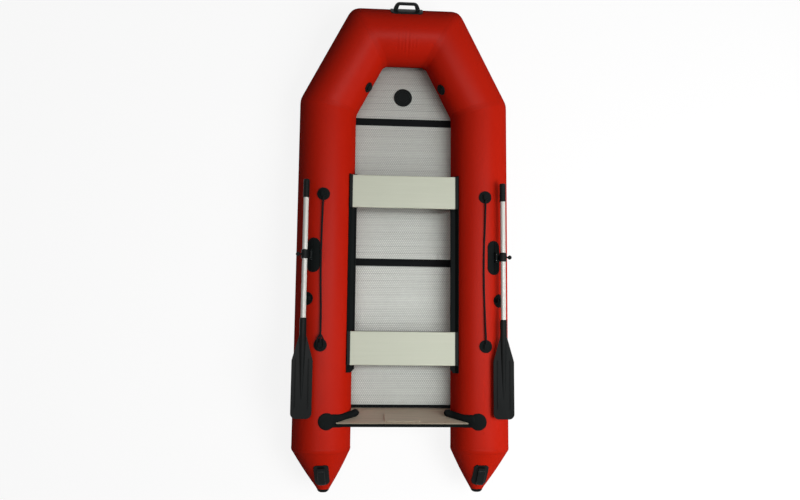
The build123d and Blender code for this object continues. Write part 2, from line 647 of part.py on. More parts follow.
def seat_shoe(station):
    inner_x = RAIL_EDGE_X - RAIL_BEAD_RADIUS - SHOE_CLEARANCE - SHOE_WALL
    low = RAIL_FLANGE_Z - RAIL_BEAD_RADIUS - SHOE_CLEARANCE - SHOE_WALL
    high = SEAT_BOTTOM + SEAT_THICKNESS + SHOE_LIP
    width = SEAT_HALF_LENGTH + SHOE_REACH - inner_x
    body = Pos(inner_x + width / 2, (low + high) / 2) * Rectangle(width, high - low)
    pocket_x = inner_x - SHOE_WALL
    pocket = SEAT_HALF_LENGTH - pocket_x
    body -= Pos(pocket_x + pocket / 2, SEAT_BOTTOM + SEAT_THICKNESS / 2) * Rectangle(pocket, SEAT_THICKNESS)
    lip = SEAT_HALF_LENGTH - SHOE_LIP_LENGTH - pocket_x
    body -= Pos(pocket_x + lip / 2, high) * Rectangle(lip, 4 * SHOE_LIP)
    slot = RAIL_FLANGE_THICKNESS + 2 * SHOE_CLEARANCE
    body -= Pos(RAIL_EDGE_X + width / 2, RAIL_FLANGE_Z) * Rectangle(width, slot)
    body -= Pos(RAIL_EDGE_X, RAIL_FLANGE_Z) * Circle(RAIL_BEAD_RADIUS + SHOE_CLEARANCE)
    reach = TUBE_RADIUS + PAD_THICKNESS + SHOE_TUBE_CLEARANCE
    body -= Pos(TUBE_AXIS_X, TUBE_RADIUS) * Circle(reach)
    return along_hull(body, station, SEAT_DEPTH)


# Oars, built in place on the starboard side

def oar_axis_plane(station):
    return Plane(origin=(OAR_X, at(station), OAR_Z), x_dir=(1, 0, 0), z_dir=(0, -1, 0))


def oar_rod(start_station, end_station, radius):
    return extrude(oar_axis_plane(start_station) * Circle(radius), amount=end_station - start_station)


def oar_shaft():
    start = OAR_FRONT_STATION + GRIP_KNOB
    return oar_rod(start, BLADE_NECK_STATION, SHAFT_RADIUS)


def oar_grip():
    front = OAR_FRONT_STATION
    sleeve = oar_rod(front, front + GRIP_LENGTH, GRIP_RADIUS)
    sleeve = fillet(sleeve.edges().sort_by(Axis.Y)[-1:], GRIP_KNOB / 2)
    for index in range(GRIP_GROOVE_COUNT):
        groove_front = front + GRIP_KNOB * 2 + index * GRIP_GROOVE_PITCH
        groove_aft = groove_front + GRIP_GROOVE_WIDTH
        groove = oar_rod(groove_front, groove_aft, GRIP_RADIUS + GRIP_GROOVE_DEPTH)
        sleeve -= groove - oar_rod(groove_front, groove_aft, GRIP_RADIUS - GRIP_GROOVE_DEPTH)
    return sleeve - oar_rod(front + GRIP_KNOB, BLADE_END_STATION, SHAFT_RADIUS)


def oar_blade():
    neck = at(BLADE_NECK_STATION)
    full = at(BLADE_FULL_STATION)
    end = at(BLADE_END_STATION)
    half = BLADE_WIDTH / 2
    face = make_face(Polyline((-SOCKET_RADIUS, neck), (SOCKET_RADIUS, neck), (half, full), (half, end),
                              (-half, end), (-half, full), close=True))
    tips = face.vertices().group_by(Axis.Y)[0]
    face = fillet(tips, BLADE_CORNER_RADIUS)
    shoulders = [vertex for vertex in face.vertices() if abs(vertex.Y - full) < 1]
    face = fillet(shoulders, BLADE_CORNER_RADIUS)
    blade = Pos(OAR_X, 0, OAR_Z) * extrude(face, amount=BLADE_THICKNESS / 2, both=True)
    socket = oar_rod(SOCKET_STATION, BLADE_NECK_STATION, SOCKET_RADIUS)
    socket = fillet(socket.edges().sort_by(Axis.Y)[-1:], SOCKET_ROUNDING)
    spine_start = oar_axis_plane(BLADE_NECK_STATION) * Ellipse(SOCKET_RADIUS, SOCKET_RADIUS)
    spine_end = oar_axis_plane(BLADE_END_STATION - SPINE_SETBACK)
    blade += loft([spine_start, spine_end * Ellipse(SPINE_END_HALF_WIDTH, SPINE_END_HALF_HEIGHT)])
    for side in (-1, 1):
        for lift in (-1, 1):
            rib_z = OAR_Z + lift * BLADE_THICKNESS / 2
            foot = Vector(OAR_X + side * BLADE_RIB_X, full + BLADE_RIB_LEAD, rib_z)
            tip = Vector(foot.X, end + BLADE_RIB_SETBACK, rib_z)
            blade += cylinder_between(foot, tip, BLADE_RIB_RADIUS)
    bore = oar_rod(SOCKET_STATION - SOCKET_LENGTH, BLADE_NECK_STATION, SHAFT_RADIUS)
    return (blade + socket) - bore


TILT = math.radians(POST_TILT)
POST_UP = Vector(math.sin(TILT), 0, math.cos(TILT))
SWING_OUT = Vector(math.cos(TILT), 0, -math.sin(TILT))
OAR_PIVOT = Vector(OAR_X, at(ROWLOCK_STATION), OAR_Z)


def post_plane(depth):
    return Plane(origin=OAR_PIVOT - POST_UP * depth, x_dir=SWING_OUT, z_dir=POST_UP * -1)


def oar_collar():
    half = COLLAR_LENGTH / 2
    ring = oar_rod(ROWLOCK_STATION - half, ROWLOCK_STATION + half, SHAFT_RADIUS + COLLAR_WALL)
    ring = fillet(ring.edges().filter_by(GeomType.CIRCLE), COLLAR_WALL / 2)
    hub = extrude(post_plane(SHAFT_RADIUS) * Circle(HUB_RADIUS), amount=HUB_BOTTOM - SHAFT_RADIUS)
    neck = cylinder_between(OAR_PIVOT, OAR_PIVOT + Vector(KNOB_REACH, 0, 0), KNOB_NECK_RADIUS)
    knob = Pos(*(OAR_PIVOT + Vector(KNOB_REACH, 0, 0))) * Sphere(KNOB_RADIUS)
    collar = ring + hub + neck + knob
    collar -= oar_rod(ROWLOCK_STATION - COLLAR_LENGTH, ROWLOCK_STATION + COLLAR_LENGTH, SHAFT_RADIUS)
    bore = extrude(post_plane(POST_TOP - ARM_GAP) * Circle(POST_RADIUS + POST_FIT), amount=HUB_BOTTOM)
    return collar - bore


ROD_CENTRE = Vector(ROD_X, at(ROWLOCK_STATION), ROD_Z)


def along_rod(half, radius):
    return cylinder_between(ROD_CENTRE - AHEAD * half, ROD_CENTRE + AHEAD * half, radius)


def rowlock():
    arm_top = HUB_BOTTOM + ARM_GAP
    post = extrude(post_plane(POST_TOP) * Circle(POST_RADIUS), amount=arm_top + ARM_THICKNESS - POST_TOP)
    rod_x = (ROD_CENTRE - OAR_PIVOT).dot(SWING_OUT)
    arm = Pos(rod_x / 2, 0) * SlotCenterToCenter(-rod_x, ARM_WIDTH)
    arm &= Pos(rod_x / 2 + ARM_WIDTH, 0) * Rectangle(2 * ARM_WIDTH - rod_x, ARM_WIDTH)
    bridge = extrude(post_plane(arm_top) * arm, amount=ARM_THICKNESS)
    barrel = along_rod(BARREL_LENGTH / 2, BARREL_RADIUS)
    return (post + bridge + barrel) - along_rod(BARREL_LENGTH, ROD_RADIUS + ROD_FIT)


def rowlock_base():
    inner = long_side_tube(TUBE_RADIUS)
    outer = long_side_tube(TUBE_RADIUS + PAD_THICKNESS)
    plane = side_plane(ROWLOCK_STATION, ROWLOCK_PAD_ANGLE)
    base = skin_pad(plane, SlotOverall(ROWLOCK_PAD_LENGTH, ROWLOCK_PAD_WIDTH), inner, outer)
    radial = (ROD_CENTRE - Vector(TUBE_AXIS_X, ROD_CENTRE.Y, TUBE_RADIUS)).normalized()
    near = BARREL_LENGTH / 2 + LUG_GAP
    for side in (-1, 1):
        foot = Plane(origin=ROD_CENTRE + AHEAD * (side * near), x_dir=radial, z_dir=AHEAD * side)
        lug = Circle(LUG_RADIUS) + Pos(-ROD_RISE / 2, 0) * Rectangle(ROD_RISE, 2 * LUG_RADIUS)
        base += extrude(foot * lug, amount=LUG_THICKNESS)
        ridge = Pos(-ROD_RISE + PAD_THICKNESS, 0) * Rectangle(PAD_THICKNESS * 2, LUG_RADIUS)
        base += extrude(foot * ridge, amount=ROWLOCK_PAD_LENGTH / 2 - near - LUG_RADIUS)
    rod_half = near + LUG_THICKNESS
    return (base - inner) - along_rod(rod_half, ROD_RADIUS), along_rod(rod_half, ROD_RADIUS)


def clip_plane():
    front = Vector(OAR_X, at(CLIP_STATION) + CLIP_LENGTH / 2, OAR_Z)
    return Plane(origin=front, x_dir=SWING_OUT, z_dir=(0, -1, 0))


CLIP_FLOOR = -SHAFT_RADIUS - CLIP_GAP
CLIP_BACK = -CLIP_INNER_LIP - CLIP_LIP_THICKNESS


def oar_clip():
    inner = long_side_tube(TUBE_RADIUS)
    outer = long_side_tube(TUBE_RADIUS + PAD_THICKNESS)
    pad = skin_pad(side_plane(CLIP_STATION, CLIP_ANGLE), Circle(CLIP_PAD_RADIUS), inner, outer)
    foot = CLIP_FLOOR - CLIP_FOOT_DEPTH
    outline = Polyline((CLIP_OUTER_LIP, CLIP_FLOOR), (CLIP_BACK, CLIP_FLOOR), (-CLIP_INNER_LIP, foot),
                       (CLIP_OUTER_LIP / 2, foot), (CLIP_OUTER_LIP, CLIP_FLOOR - CLIP_OUTER_EDGE), close=True)
    cradle = extrude(clip_plane() * make_face(outline), amount=CLIP_LENGTH)
    return (pad + cradle) - inner


def clip_lip():
    top = CLIP_FLOOR + CLIP_LIP_RISE
    outline = Polyline((CLIP_BACK, CLIP_FLOOR), (-CLIP_INNER_LIP + CLIP_LIP_THICKNESS, CLIP_FLOOR),
                       (-CLIP_INNER_LIP, top), (CLIP_BACK, top), close=True)
    return extrude(clip_plane() * make_face(outline), amount=CLIP_LENGTH)


# Grab lines along the tops of the side tubes

ANCHOR_HALF = ANCHOR_BOSS_LENGTH / 2


def line_anchor(station):
    inner = long_side_tube(TUBE_RADIUS)
    outer = long_side_tube(TUBE_RADIUS + PAD_THICKNESS)
    plane = side_plane(station, ANCHOR_ANGLE)
    pad = skin_pad(plane, Circle(ANCHOR_RADIUS), inner, outer)
    block = RectangleRounded(ANCHOR_BOSS_LENGTH, ANCHOR_BOSS_WIDTH, ANCHOR_BOSS_CORNER)
    return (pad + extrude(plane * block, amount=ANCHOR_BOSS_HEIGHT)) - inner


LINE_X = TUBE_AXIS_X + TUBE_RADIUS * math.cos(math.radians(ANCHOR_ANGLE))
LINE_START_Y = at(FRONT_ANCHOR_STATION) - ANCHOR_HALF - LINE_GAP
LINE_END_Y = at(AFT_ANCHOR_STATION) + ANCHOR_HALF + LINE_GAP

# Each bend: how far outboard of the anchors, its share of the way aft, its rise above the tube
LINE_BENDS = {
    "starboard": [(-0.8, 0.0845, 12.0), (-4.8, 0.2057, 7.6), (-10.8, 0.3424, 6.6), (-13.8, 0.4809, 6.6),
                  (-12.8, 0.6195, 6.6), (-8.8, 0.7581, 7.6), (-3.8, 0.8870, 12.0)],
    "port": [(2.2, 0.0864, 12.0), (6.2, 0.2077, 7.6), (8.2, 0.3443, 6.6), (8.2, 0.4829, 7.0),
             (5.2, 0.6214, 6.6), (0.2, 0.7600, 7.6), (-1.8, 0.8890, 12.0)],
}


def line_route(side):
    hand = {"starboard": 1, "port": -1}[side]
    bends = [(0.0, 0.0, LINE_END_RISE)] + LINE_BENDS[side] + [(0.0, 1.0, LINE_END_RISE)]
    points = []
    for outboard, share, rise in bends:
        y = LINE_START_Y + share * (LINE_END_Y - LINE_START_Y)
        points.append((hand * (LINE_X + outboard), y, 2 * TUBE_RADIUS + rise))
    return points


def line_radii(points):
    radii = []
    for before, here, after in zip(points, points[1:], points[2:]):
        first = Vector(*here) - Vector(*before)
        second = Vector(*after) - Vector(*here)
        turn = math.radians(first.get_angle(second))
        radii.append(LINE_BEND_SHARE * min(first.length, second.length) / math.tan(turn / 2))
    return radii


def grab_line(side):
    points = line_route(side)
    radii = line_radii(points)
    path = FilletPolyline(*points, radius=radii)
    start = Plane(origin=points[0], z_dir=path.tangent_at(0))
    rope = sweep(start * Circle(LINE_RADIUS), path=path)
    section = math.pi * LINE_RADIUS ** 2
    print(side, "grab line radii", [round(radius) for radius in radii],
          "length", round(path.length, 1), "volume ratio", round(rope.volume / section / path.length, 4))
    return rope


# Assembly

def both_sides(nodes, name, solid):
    nodes[f"starboard_{name}"] = solid
    nodes[f"port_{name}"] = mirror(solid, about=Plane.YZ)


def pair(*solids):
    return Compound(list(solids) + [mirror(solid, about=Plane.YZ) for solid in solids])


def build():
    nodes = {}
    walls = hull_clearance(GLUE_GAP)
    cone = cone_solid()
    cone_skin = cone_solid(PAD_THICKNESS)
    nodes["bow_cross_tube"] = bow_cross_tube()
    both_sides(nodes, "bow_tube", bow_tube())
    both_sides(nodes, "side_tube", side_tube())
    both_sides(nodes, "stern_cone", cone)
    nodes["cone_caps"] = pair(cone_cap())
    nodes["bottom_skin"] = bottom_skin()
    nodes["keel_strake"] = keel_strake()

    nodes.update(floor_panels(walls))
    joints = [floor_joint(index, walls) for index in range(PANEL_COUNT)]
    nodes["floor_joint_profiles"] = Compound(joints)
    nodes["floor_end_strip"] = floor_end_strip(walls)
    nodes["keel_valve_cover"] = keel_valve_cover()

    nodes["transom_board"] = transom_board()
    nodes["transom_trim"] = transom_trim()
    nodes["inner_motor_pad"] = motor_pad(0, -1)
    nodes["outer_motor_pad"] = motor_pad(TRANSOM_THICKNESS, 1)
    nodes["transom_drain"] = transom_drain()
    nodes["transom_holders"] = pair(transom_holder())

    both_sides(nodes, "seat_rail", seat_rail())
    for name, station in SEAT_STATIONS.items():
        nodes[f"{name}_seat_board"] = seat_board(station)
        nodes[f"{name}_seat_shoes"] = pair(seat_shoe(station))

    both_sides(nodes, "oar_shaft", oar_shaft())
    both_sides(nodes, "oar_grip", oar_grip())
    both_sides(nodes, "oar_blade", oar_blade())
    both_sides(nodes, "oar_collar", oar_collar())
    both_sides(nodes, "rowlock", rowlock())
    base, rod = rowlock_base()
    both_sides(nodes, "rowlock_base", base)
    nodes["rowlock_rods"] = pair(rod)
    nodes["oar_clips"] = pair(oar_clip())
    nodes["oar_clip_lips"] = pair(clip_lip())

    nodes["line_anchors"] = pair(line_anchor(FRONT_ANCHOR_STATION), line_anchor(AFT_ANCHOR_STATION))
    for side in LINE_BENDS:
        nodes[f"{side}_grab_line"] = grab_line(side)

    bow_middle = Vector(0, BOW_AXIS_Y, TUBE_RADIUS + BOW_RISE)
    cross = cylinder_between(CORNER, FAR_CORNER, TUBE_RADIUS)
    cross_skin = cylinder_between(CORNER, FAR_CORNER, TUBE_RADIUS + PAD_THICKNESS)
    bow_plane = surface_plane(bow_middle, ACROSS, BOW_HANDLE_ANGLE)
    nodes["bow_handle"] = grab_handle(bow_plane, BOW_HANDLE, cross, cross_skin)
    slant = cylinder_between(SHOULDER, CORNER, TUBE_RADIUS)
    slant_skin = cylinder_between(SHOULDER, CORNER, TUBE_RADIUS + PAD_THICKNESS)
    side_point = SHOULDER + (CORNER - SHOULDER) * SIDE_HANDLE_SHARE
    side_handle_plane = surface_plane(side_point, SLANT, SIDE_HANDLE_ANGLE)
    nodes["side_handles"] = pair(grab_handle(side_handle_plane, SIDE_HANDLE, slant, slant_skin))
    fall = (TUBE_RADIUS - CONE_END_RADIUS) / CONE_LENGTH
    lean = CONE_INSET / CONE_LENGTH
    down = Vector(-lean, -1, -fall).normalized()
    handle_z = 2 * TUBE_RADIUS - fall * STERN_HANDLE_AFT_OF_CONE + CONE_BULGE
    handle_x = TUBE_AXIS_X - lean * STERN_HANDLE_AFT_OF_CONE
    origin = Vector(handle_x, at(CONE_STATION + STERN_HANDLE_AFT_OF_CONE), handle_z)
    stern_plane = Plane(origin=origin, x_dir=down, z_dir=Vector(1, 0, 0).cross(down) * -1)
    nodes["stern_handles"] = pair(grab_handle(stern_plane, STERN_HANDLE, cone, cone_skin))
    nodes["air_valves"] = pair(air_valve())
    return nodes


def main():
    os.makedirs("parts", exist_ok=True)
    for name, solid in build().items():
        export_step(solid, f"parts/{name}.step")


main()
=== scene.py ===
import json
import math

import bmesh
import bpy
import numpy as np
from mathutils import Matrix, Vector


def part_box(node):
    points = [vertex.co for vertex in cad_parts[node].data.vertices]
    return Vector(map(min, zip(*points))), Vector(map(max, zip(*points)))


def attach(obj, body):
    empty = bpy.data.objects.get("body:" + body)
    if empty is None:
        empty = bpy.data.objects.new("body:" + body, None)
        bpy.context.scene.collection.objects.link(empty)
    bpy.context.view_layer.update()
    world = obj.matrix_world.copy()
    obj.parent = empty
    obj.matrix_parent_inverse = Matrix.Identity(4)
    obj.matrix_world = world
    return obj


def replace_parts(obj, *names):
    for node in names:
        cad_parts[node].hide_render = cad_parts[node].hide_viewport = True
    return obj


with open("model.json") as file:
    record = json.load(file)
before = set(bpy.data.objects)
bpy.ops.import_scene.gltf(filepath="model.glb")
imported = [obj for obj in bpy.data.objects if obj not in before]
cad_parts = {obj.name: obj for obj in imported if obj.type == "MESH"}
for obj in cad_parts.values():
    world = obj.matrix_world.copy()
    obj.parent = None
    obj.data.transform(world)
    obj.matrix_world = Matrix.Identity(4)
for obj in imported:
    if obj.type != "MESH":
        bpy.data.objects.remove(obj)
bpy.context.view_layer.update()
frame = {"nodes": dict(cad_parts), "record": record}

# Looks of an inflatable boat: coated-fabric tubes, studded aluminium floor, painted seats, plywood
# transom, rubber fittings, oars and braided grab lines. Metres, +Y to the bow, +X to starboard, +Z up.

# Camera
CAMERA_PLACE = (-0.3903, -0.7181, 5.7297)
CAMERA_TURN = (0.1209, -0.0685, 0.0099)
CAMERA_LENS = 33.75
SENSOR_WIDTH = 36.0

# Light
WORLD_STRENGTH = 0.055
KEY_PLACE = (3.4, -1.7, 5.5)
KEY_SIZE = (3.2, 4.2)
KEY_POWER = 375.0
RIM_PLACE = (6.0, -1.0, 1.7)
RIM_SIZE = (1.2, 5.0)
RIM_POWER = 100.0
TOP_PLACE = (1.0, 0.2, 8.4)
TOP_SIZE = (0.6, 10.0)
TOP_POWER = 145.0
SHEEN_POWER = 290.0
WHITE = (1.0, 1.0, 1.0, 1.0)
BLACK_DEEP = (0.003, 0.004, 0.004, 1)
BLACK_LIGHT = (0.007, 0.009, 0.009, 1)
FLOOR_SIZE = 40.0
FLOOR_COLOUR = (0.36, 0.36, 0.36, 1.0)
FLOOR_SEEN = (0.95, 0.95, 0.95, 1.0)
FLOOR_GLOW = 0.88

# Air tubes
GLOSS_SHARE = 0.006
BOW_CORNER_X = 0.280
SHOULDER_SETBACK = 0.540
CONE_END_RADIUS = 0.049
CONE_INSET = 0.022
CONE_BULGE = 0.005
TUBE_SIDES = 96
ROW_SPACING = 0.030
BOW_ROW_SPACING = 0.004
ARC_ROWS = 12
FEWEST_ROWS = 3
STRAIGHT_BEND = 1e-6
CONE_SEAM_REACH = (0.012, 0.012)
SHOULDER_REACH = (0.022, 0.040)
BOW_REACH = (0.034, 0.066)
PUCKER_HEIGHT = 0.0009
PUCKER_REACH = 0.060
PUCKER_COUNT = 11
PUCKER_BEAT = 5
STRAIGHT_PUCKER = 0.25
WRINKLE_HEIGHT = 0.0016
WRINKLE_WAVE = 0.027
WRINKLE_REACH = 0.075
WRINKLE_ANGLE = 2.05
WRINKLE_SPREAD = 0.38
WRINKLE_SHARES = (0.65, 0.35)
WRINKLE_BEAT = 0.62
TAPE_HALF_WIDTH = 0.019
TAPE_THICKNESS = 0.0008
TAPE_BEVEL = 0.0016
TAPE_SUNK = 0.0006
TAPE_STEPS = 4
TAPE_PROBE = 0.001
WEAVE_PITCH = 0.0018
UP = Vector((0, 0, 1))
RUN_NAMES = ["starboard_stern_cone", "starboard_side_tube", "starboard_bow_tube", "bow_cross_tube",
             "port_bow_tube", "port_side_tube", "port_stern_cone"]

# Cone tips: (radius, distance aft of the cone's end)
LIP_PROFILE = [(0.0400, 0.0), (0.0490, -0.0005), (0.0492, 0.0005), (0.0445, 0.0085), (0.0438, 0.0090),
               (0.0400, 0.0092)]
CAP_PROFILE = [(0.0, 0.0040), (0.0425, 0.0040), (0.0436, 0.0092), (0.0420, 0.0140), (0.0395, 0.0190),
               (0.0360, 0.0240), (0.0310, 0.0285), (0.0240, 0.0318), (0.0140, 0.0336), (0.0, 0.0340)]
RING_SIDES = 64
MERGE_DISTANCE = 1e-6
SHARP_ANGLE = math.radians(50)

# Transom holders. Each arm has stations (x, y, z, half width, half height) from the tube's axis and the
# trim's aft edge, and the disc has (radius, height over the tube).
HOLDER_FRONT_ARM = [(-0.052, 0.0459, 0.2035, 0.0400, 0.0040), (-0.081, 0.0549, 0.1945, 0.0330, 0.0090),
                    (-0.138, 0.0616, 0.1580, 0.0250, 0.0140), (-0.171, 0.0699, 0.1270, 0.0245, 0.0180),
                    (-0.206, 0.0764, 0.0900, 0.0255, 0.0220), (-0.232, 0.0854, 0.0730, 0.0275, 0.0240),
                    (-0.250, 0.0884, 0.0690, 0.0245, 0.0215), (-0.2634, 0.0889, 0.0675, 0.0150, 0.0130),
                    (-0.2683, 0.0894, 0.0670, 0.0052, 0.0046), (-0.269, 0.0894, 0.0670, 0.0, 0.0)]
HOLDER_BACK_ARM = [(-0.052, 0.0114, 0.2035, 0.0200, 0.0040), (-0.081, 0.0094, 0.1940, 0.0120, 0.0080),
                   (-0.138, 0.0039, 0.1580, 0.0090, 0.0100), (-0.171, 0.0084, 0.1230, 0.0080, 0.0100),
                   (-0.187, 0.0124, 0.1040, 0.0060, 0.0070), (-0.193, 0.0139, 0.0960, 0.0025, 0.0030),
                   (-0.1945, 0.0144, 0.0945, 0.0, 0.0)]
HOLDER_DISC = [(0.0, 0.0078), (0.030, 0.0076), (0.048, 0.0070), (0.0555, 0.0058), (0.0585, 0.0038),
               (0.059, 0.0010), (0.059, -0.0060), (0.0, -0.0060)]
HOLDER_DISC_PLACE = (-0.042, 0.0389)
HOLDER_STEPS = 6

# Transom trim
TRIM_CROWN = 0.0112
TRIM_END_DEPTH = 0.016
TRIM_END_LAP = 0.001
TRIM_END_LENGTH = 0.026
TRIM_END_RISE = 0.008
TRIM_SETBACK = 0.0125
TRIM_END_FACE = 1e-5

# Transom board
GROWTH_RINGS = 210.0
SEALED_EDGE_RISE = 0.8

# Floor studs
STUD_PITCH = 0.0150
STUD_ROW = 0.0130
STUD_RADIUS = 0.0042
STUD_HEIGHT = 0.0015
STUD_MARGIN = 0.008
STUD_EDGE = 0.030
STUD_SIDES = 8
STUD_TOP_SHARE = 0.55
STUD_FIRST_ROW = 500.25
TOP_FACE_DEPTH = 0.001
END_EDGE_DEPTH = 0.002
FLOOR_PLANK = 0.053
PLANK_GROOVE = 0.455
PROFILE_RIB = 0.0085

# Seat slats
SLAT_COUNT = 8
SLAT_GAP = 0.0014
SLAT_HEIGHT = 0.0009
SLAT_MARGIN = 0.005
SLAT_END = 0.005
SLAT_LIFT = 0.4

# Grab lines
STRAND_COUNT = 8
STRAND_RADIUS = 0.0024
STRAND_RING = 0.0040
STRAND_WAVE = 0.0005
BRAID_PITCH = 0.034
BRAID_STEP = 0.0022
CORE_RADIUS = 0.0040
STRAND_SIDES = 6
CORE_SIDES = 10
CROSSINGS = 4.0
LINE_STEPS = 16
EYE_SCALE = 0.75
ANCHOR_RADIUS = 0.046
EYE_ROUTE = [(0.0, 0.078, 0.4355), (0.012, 0.060, 0.434), (0.022, 0.042, 0.434), (0.024, 0.008, 0.434),
             (0.020, -0.021, 0.434), (0.0, -0.031, 0.434), (-0.020, -0.021, 0.434), (-0.024, 0.008, 0.434),
             (-0.022, 0.042, 0.434), (-0.012, 0.060, 0.434)]
LINE_ROUTES = {
    "starboard": [(0.58482, 0.309794, 0.437), (0.58402, 0.221982, 0.432), (0.58002, 0.096031, 0.4276),
                  (0.57402, -0.046028, 0.4266), (0.57102, -0.189957, 0.4266), (0.57202, -0.33399, 0.4266),
                  (0.57602, -0.478024, 0.4276), (0.58102, -0.611976, 0.432), (0.58482, -0.729406, 0.437)],
    "port": [(-0.58482, 0.309794, 0.437), (-0.58702, 0.220007, 0.432), (-0.59102, 0.093952, 0.4276),
             (-0.59302, -0.048003, 0.4266), (-0.59302, -0.192036, 0.427), (-0.59002, -0.335965, 0.4266),
             (-0.58502, -0.479998, 0.4276), (-0.58302, -0.614055, 0.432), (-0.58482, -0.729406, 0.437)],
}


# Node trees

class Wire:
    """An output socket in a node tree. Arithmetic on it adds Math nodes."""

    def __init__(self, tree, socket):
        self.tree = tree
        self.socket = socket

    def math(self, operation, first, second=0.0):
        return self.tree.node("ShaderNodeMath", {"operation": operation}, {0: first, 1: second})

    def __add__(self, other):
        return self.math("ADD", self, other)

    def __radd__(self, other):
        return self.math("ADD", other, self)

    def __sub__(self, other):
        return self.math("SUBTRACT", self, other)

    def __rsub__(self, other):
        return self.math("SUBTRACT", other, self)

    def __mul__(self, other):
        return self.math("MULTIPLY", self, other)

    def __rmul__(self, other):
        return self.math("MULTIPLY", other, self)

    def __truediv__(self, other):
        return self.math("DIVIDE", self, other)

    def __rtruediv__(self, other):
        return self.math("DIVIDE", other, self)

    def __mod__(self, other):
        return self.math("FLOORED_MODULO", self, other)

    def __rmod__(self, other):
        return self.math("FLOORED_MODULO", other, self)

    def __lt__(self, other):
        return self.math("LESS_THAN", self, other)

    def __gt__(self, other):
        return self.math("GREATER_THAN", self, other)

    def __abs__(self):
        return self.math("ABSOLUTE", self)

    def floor(self):
        return self.math("FLOOR", self)

    def sine(self):
        return self.math("SINE", self)

    def cosine(self):
        return self.math("COSINE", self)


class Tree:
    """Adds nodes to one node tree."""

    def __init__(self, tree):
        self.tree = tree

    def node(self, kind, settings=None, inputs=None, output=0):
        made = self.tree.nodes.new(kind)
        for name, value in (settings or {}).items():
            setattr(made, name, value)
        for socket, value in (inputs or {}).items():
            self.feed(made.inputs[socket], value)
        return Wire(self, made.outputs[output])

    def feed(self, socket, value):
        if isinstance(value, Wire):
            self.tree.links.new(value.socket, socket)
        elif isinstance(value, list):
            for wire in value:
                self.tree.links.new(wire.socket, socket)
        else:
            socket.default_value = value

    def vector(self, operation, first, second, output=0):
        return self.node("ShaderNodeVectorMath", {"operation": operation}, {0: first, 1: second}, output)

    def scaled(self, wire, amount):
        return self.node("ShaderNodeVectorMath", {"operation": "SCALE"}, {0: wire, "Scale": amount})

    def outputs(self, kind, inputs=None):
        """All outputs of a new node, by name."""
        made = self.node(kind, {}, inputs).socket.node
        return {socket.name: Wire(self, socket) for socket in made.outputs}

    def parts(self, wire):
        return list(self.outputs("ShaderNodeSeparateXYZ", {0: wire}).values())


class Paint(Tree):
    """A new material. What is the same all over is set on its shader, and the rest is wired in."""

    def __init__(self, name, fixed):
        self.material = bpy.data.materials.new(name)
        self.material.use_nodes = True
        super().__init__(self.material.node_tree)
        self.shader = self.tree.nodes["Principled BSDF"]
        for socket, value in fixed.items():
            self.shader.inputs[socket].default_value = value
        self.place = self.node("ShaderNodeTexCoord", output="Object")

    def wire(self, socket, value):
        self.feed(self.shader.inputs[socket], value)

    def noise(self, scale, stretch=(1.0, 1.0, 1.0), detail=3.0):
        spot = self.vector("MULTIPLY", self.place, stretch)
        return self.node("ShaderNodeTexNoise", {}, {"Vector": spot, "Scale": scale, "Detail": detail})

    def mix(self, share, first, second):
        settings = {"data_type": "RGBA", "clamp_factor": True}
        return self.node("ShaderNodeMix", settings, {0: share, 6: first, 7: second}, 2)

    def bump(self, height, strength, distance):
        inputs = {"Strength": strength, "Distance": distance, "Height": height}
        normal = self.node("ShaderNodeBump", {}, inputs)
        self.wire("Normal", normal)
        return normal

    def cover(self, share, shader):
        """Lays a share of another shader over this material's own."""
        own = Wire(self, self.shader.outputs[0])
        mixed = self.node("ShaderNodeMixShader", {}, {0: share, 1: own, 2: shader})
        self.feed(self.tree.nodes["Material Output"].inputs["Surface"], mixed)


# Finishes

def red_fabric(name, light, deep, woven):
    """Coated fabric: a matt colour under a faint satin gloss that is even at every angle."""
    paint = Paint(name, {"Specular IOR Level": 0.0})
    cloud = paint.noise(1.7, detail=5.0)
    mottle = paint.noise(38.0, detail=3.0)
    paint.wire("Base Color", paint.mix(cloud * 0.8 + mottle * 0.2, deep, light))
    satin = 0.32 + cloud * 0.10 + mottle * 0.05
    paint.wire("Roughness", satin)
    grain = paint.noise(1500.0, detail=2.0)
    height = grain * 0.5 + paint.noise(9.0, detail=2.0) * 3.0
    if woven:
        along, around = paint.parts(paint.node("ShaderNodeUVMap", {"uv_map": "skin"}))[:2]
        thread = 2 * math.pi / WEAVE_PITCH
        height = height + (along * thread).sine() * (around * thread).sine() * 0.25
    normal = paint.bump(height, 0.25, 0.0006)
    gloss = {"Base Color": WHITE, "Metallic": 1.0, "Roughness": satin, "Normal": normal}
    paint.cover(GLOSS_SHARE, paint.node("ShaderNodeBsdfPrincipled", {}, gloss))
    return paint.material


def black_rubber(name, coat):
    paint = Paint(name, {"Specular IOR Level": 0.04, "Coat Weight": coat, "Coat Roughness": 0.16})
    scuff = paint.noise(26.0, detail=6.0)
    paint.wire("Base Color", paint.mix(scuff, BLACK_DEEP, BLACK_LIGHT))
    paint.wire("Roughness", 0.42 + scuff * 0.26)
    paint.bump(paint.noise(900.0, detail=2.0), 0.22, 0.0006)
    return paint.material


def moulded_black(name, deep, light, gloss):
    paint = Paint(name, {"Specular IOR Level": gloss})
    scuff = paint.noise(14.0, stretch=(1.0, 0.35, 1.0), detail=6.0)
    paint.wire("Base Color", paint.mix(scuff, deep, light))
    paint.wire("Roughness", 0.28 + scuff * 0.20)
    paint.bump(paint.noise(420.0, detail=2.0), 0.12, 0.0005)
    return paint.material


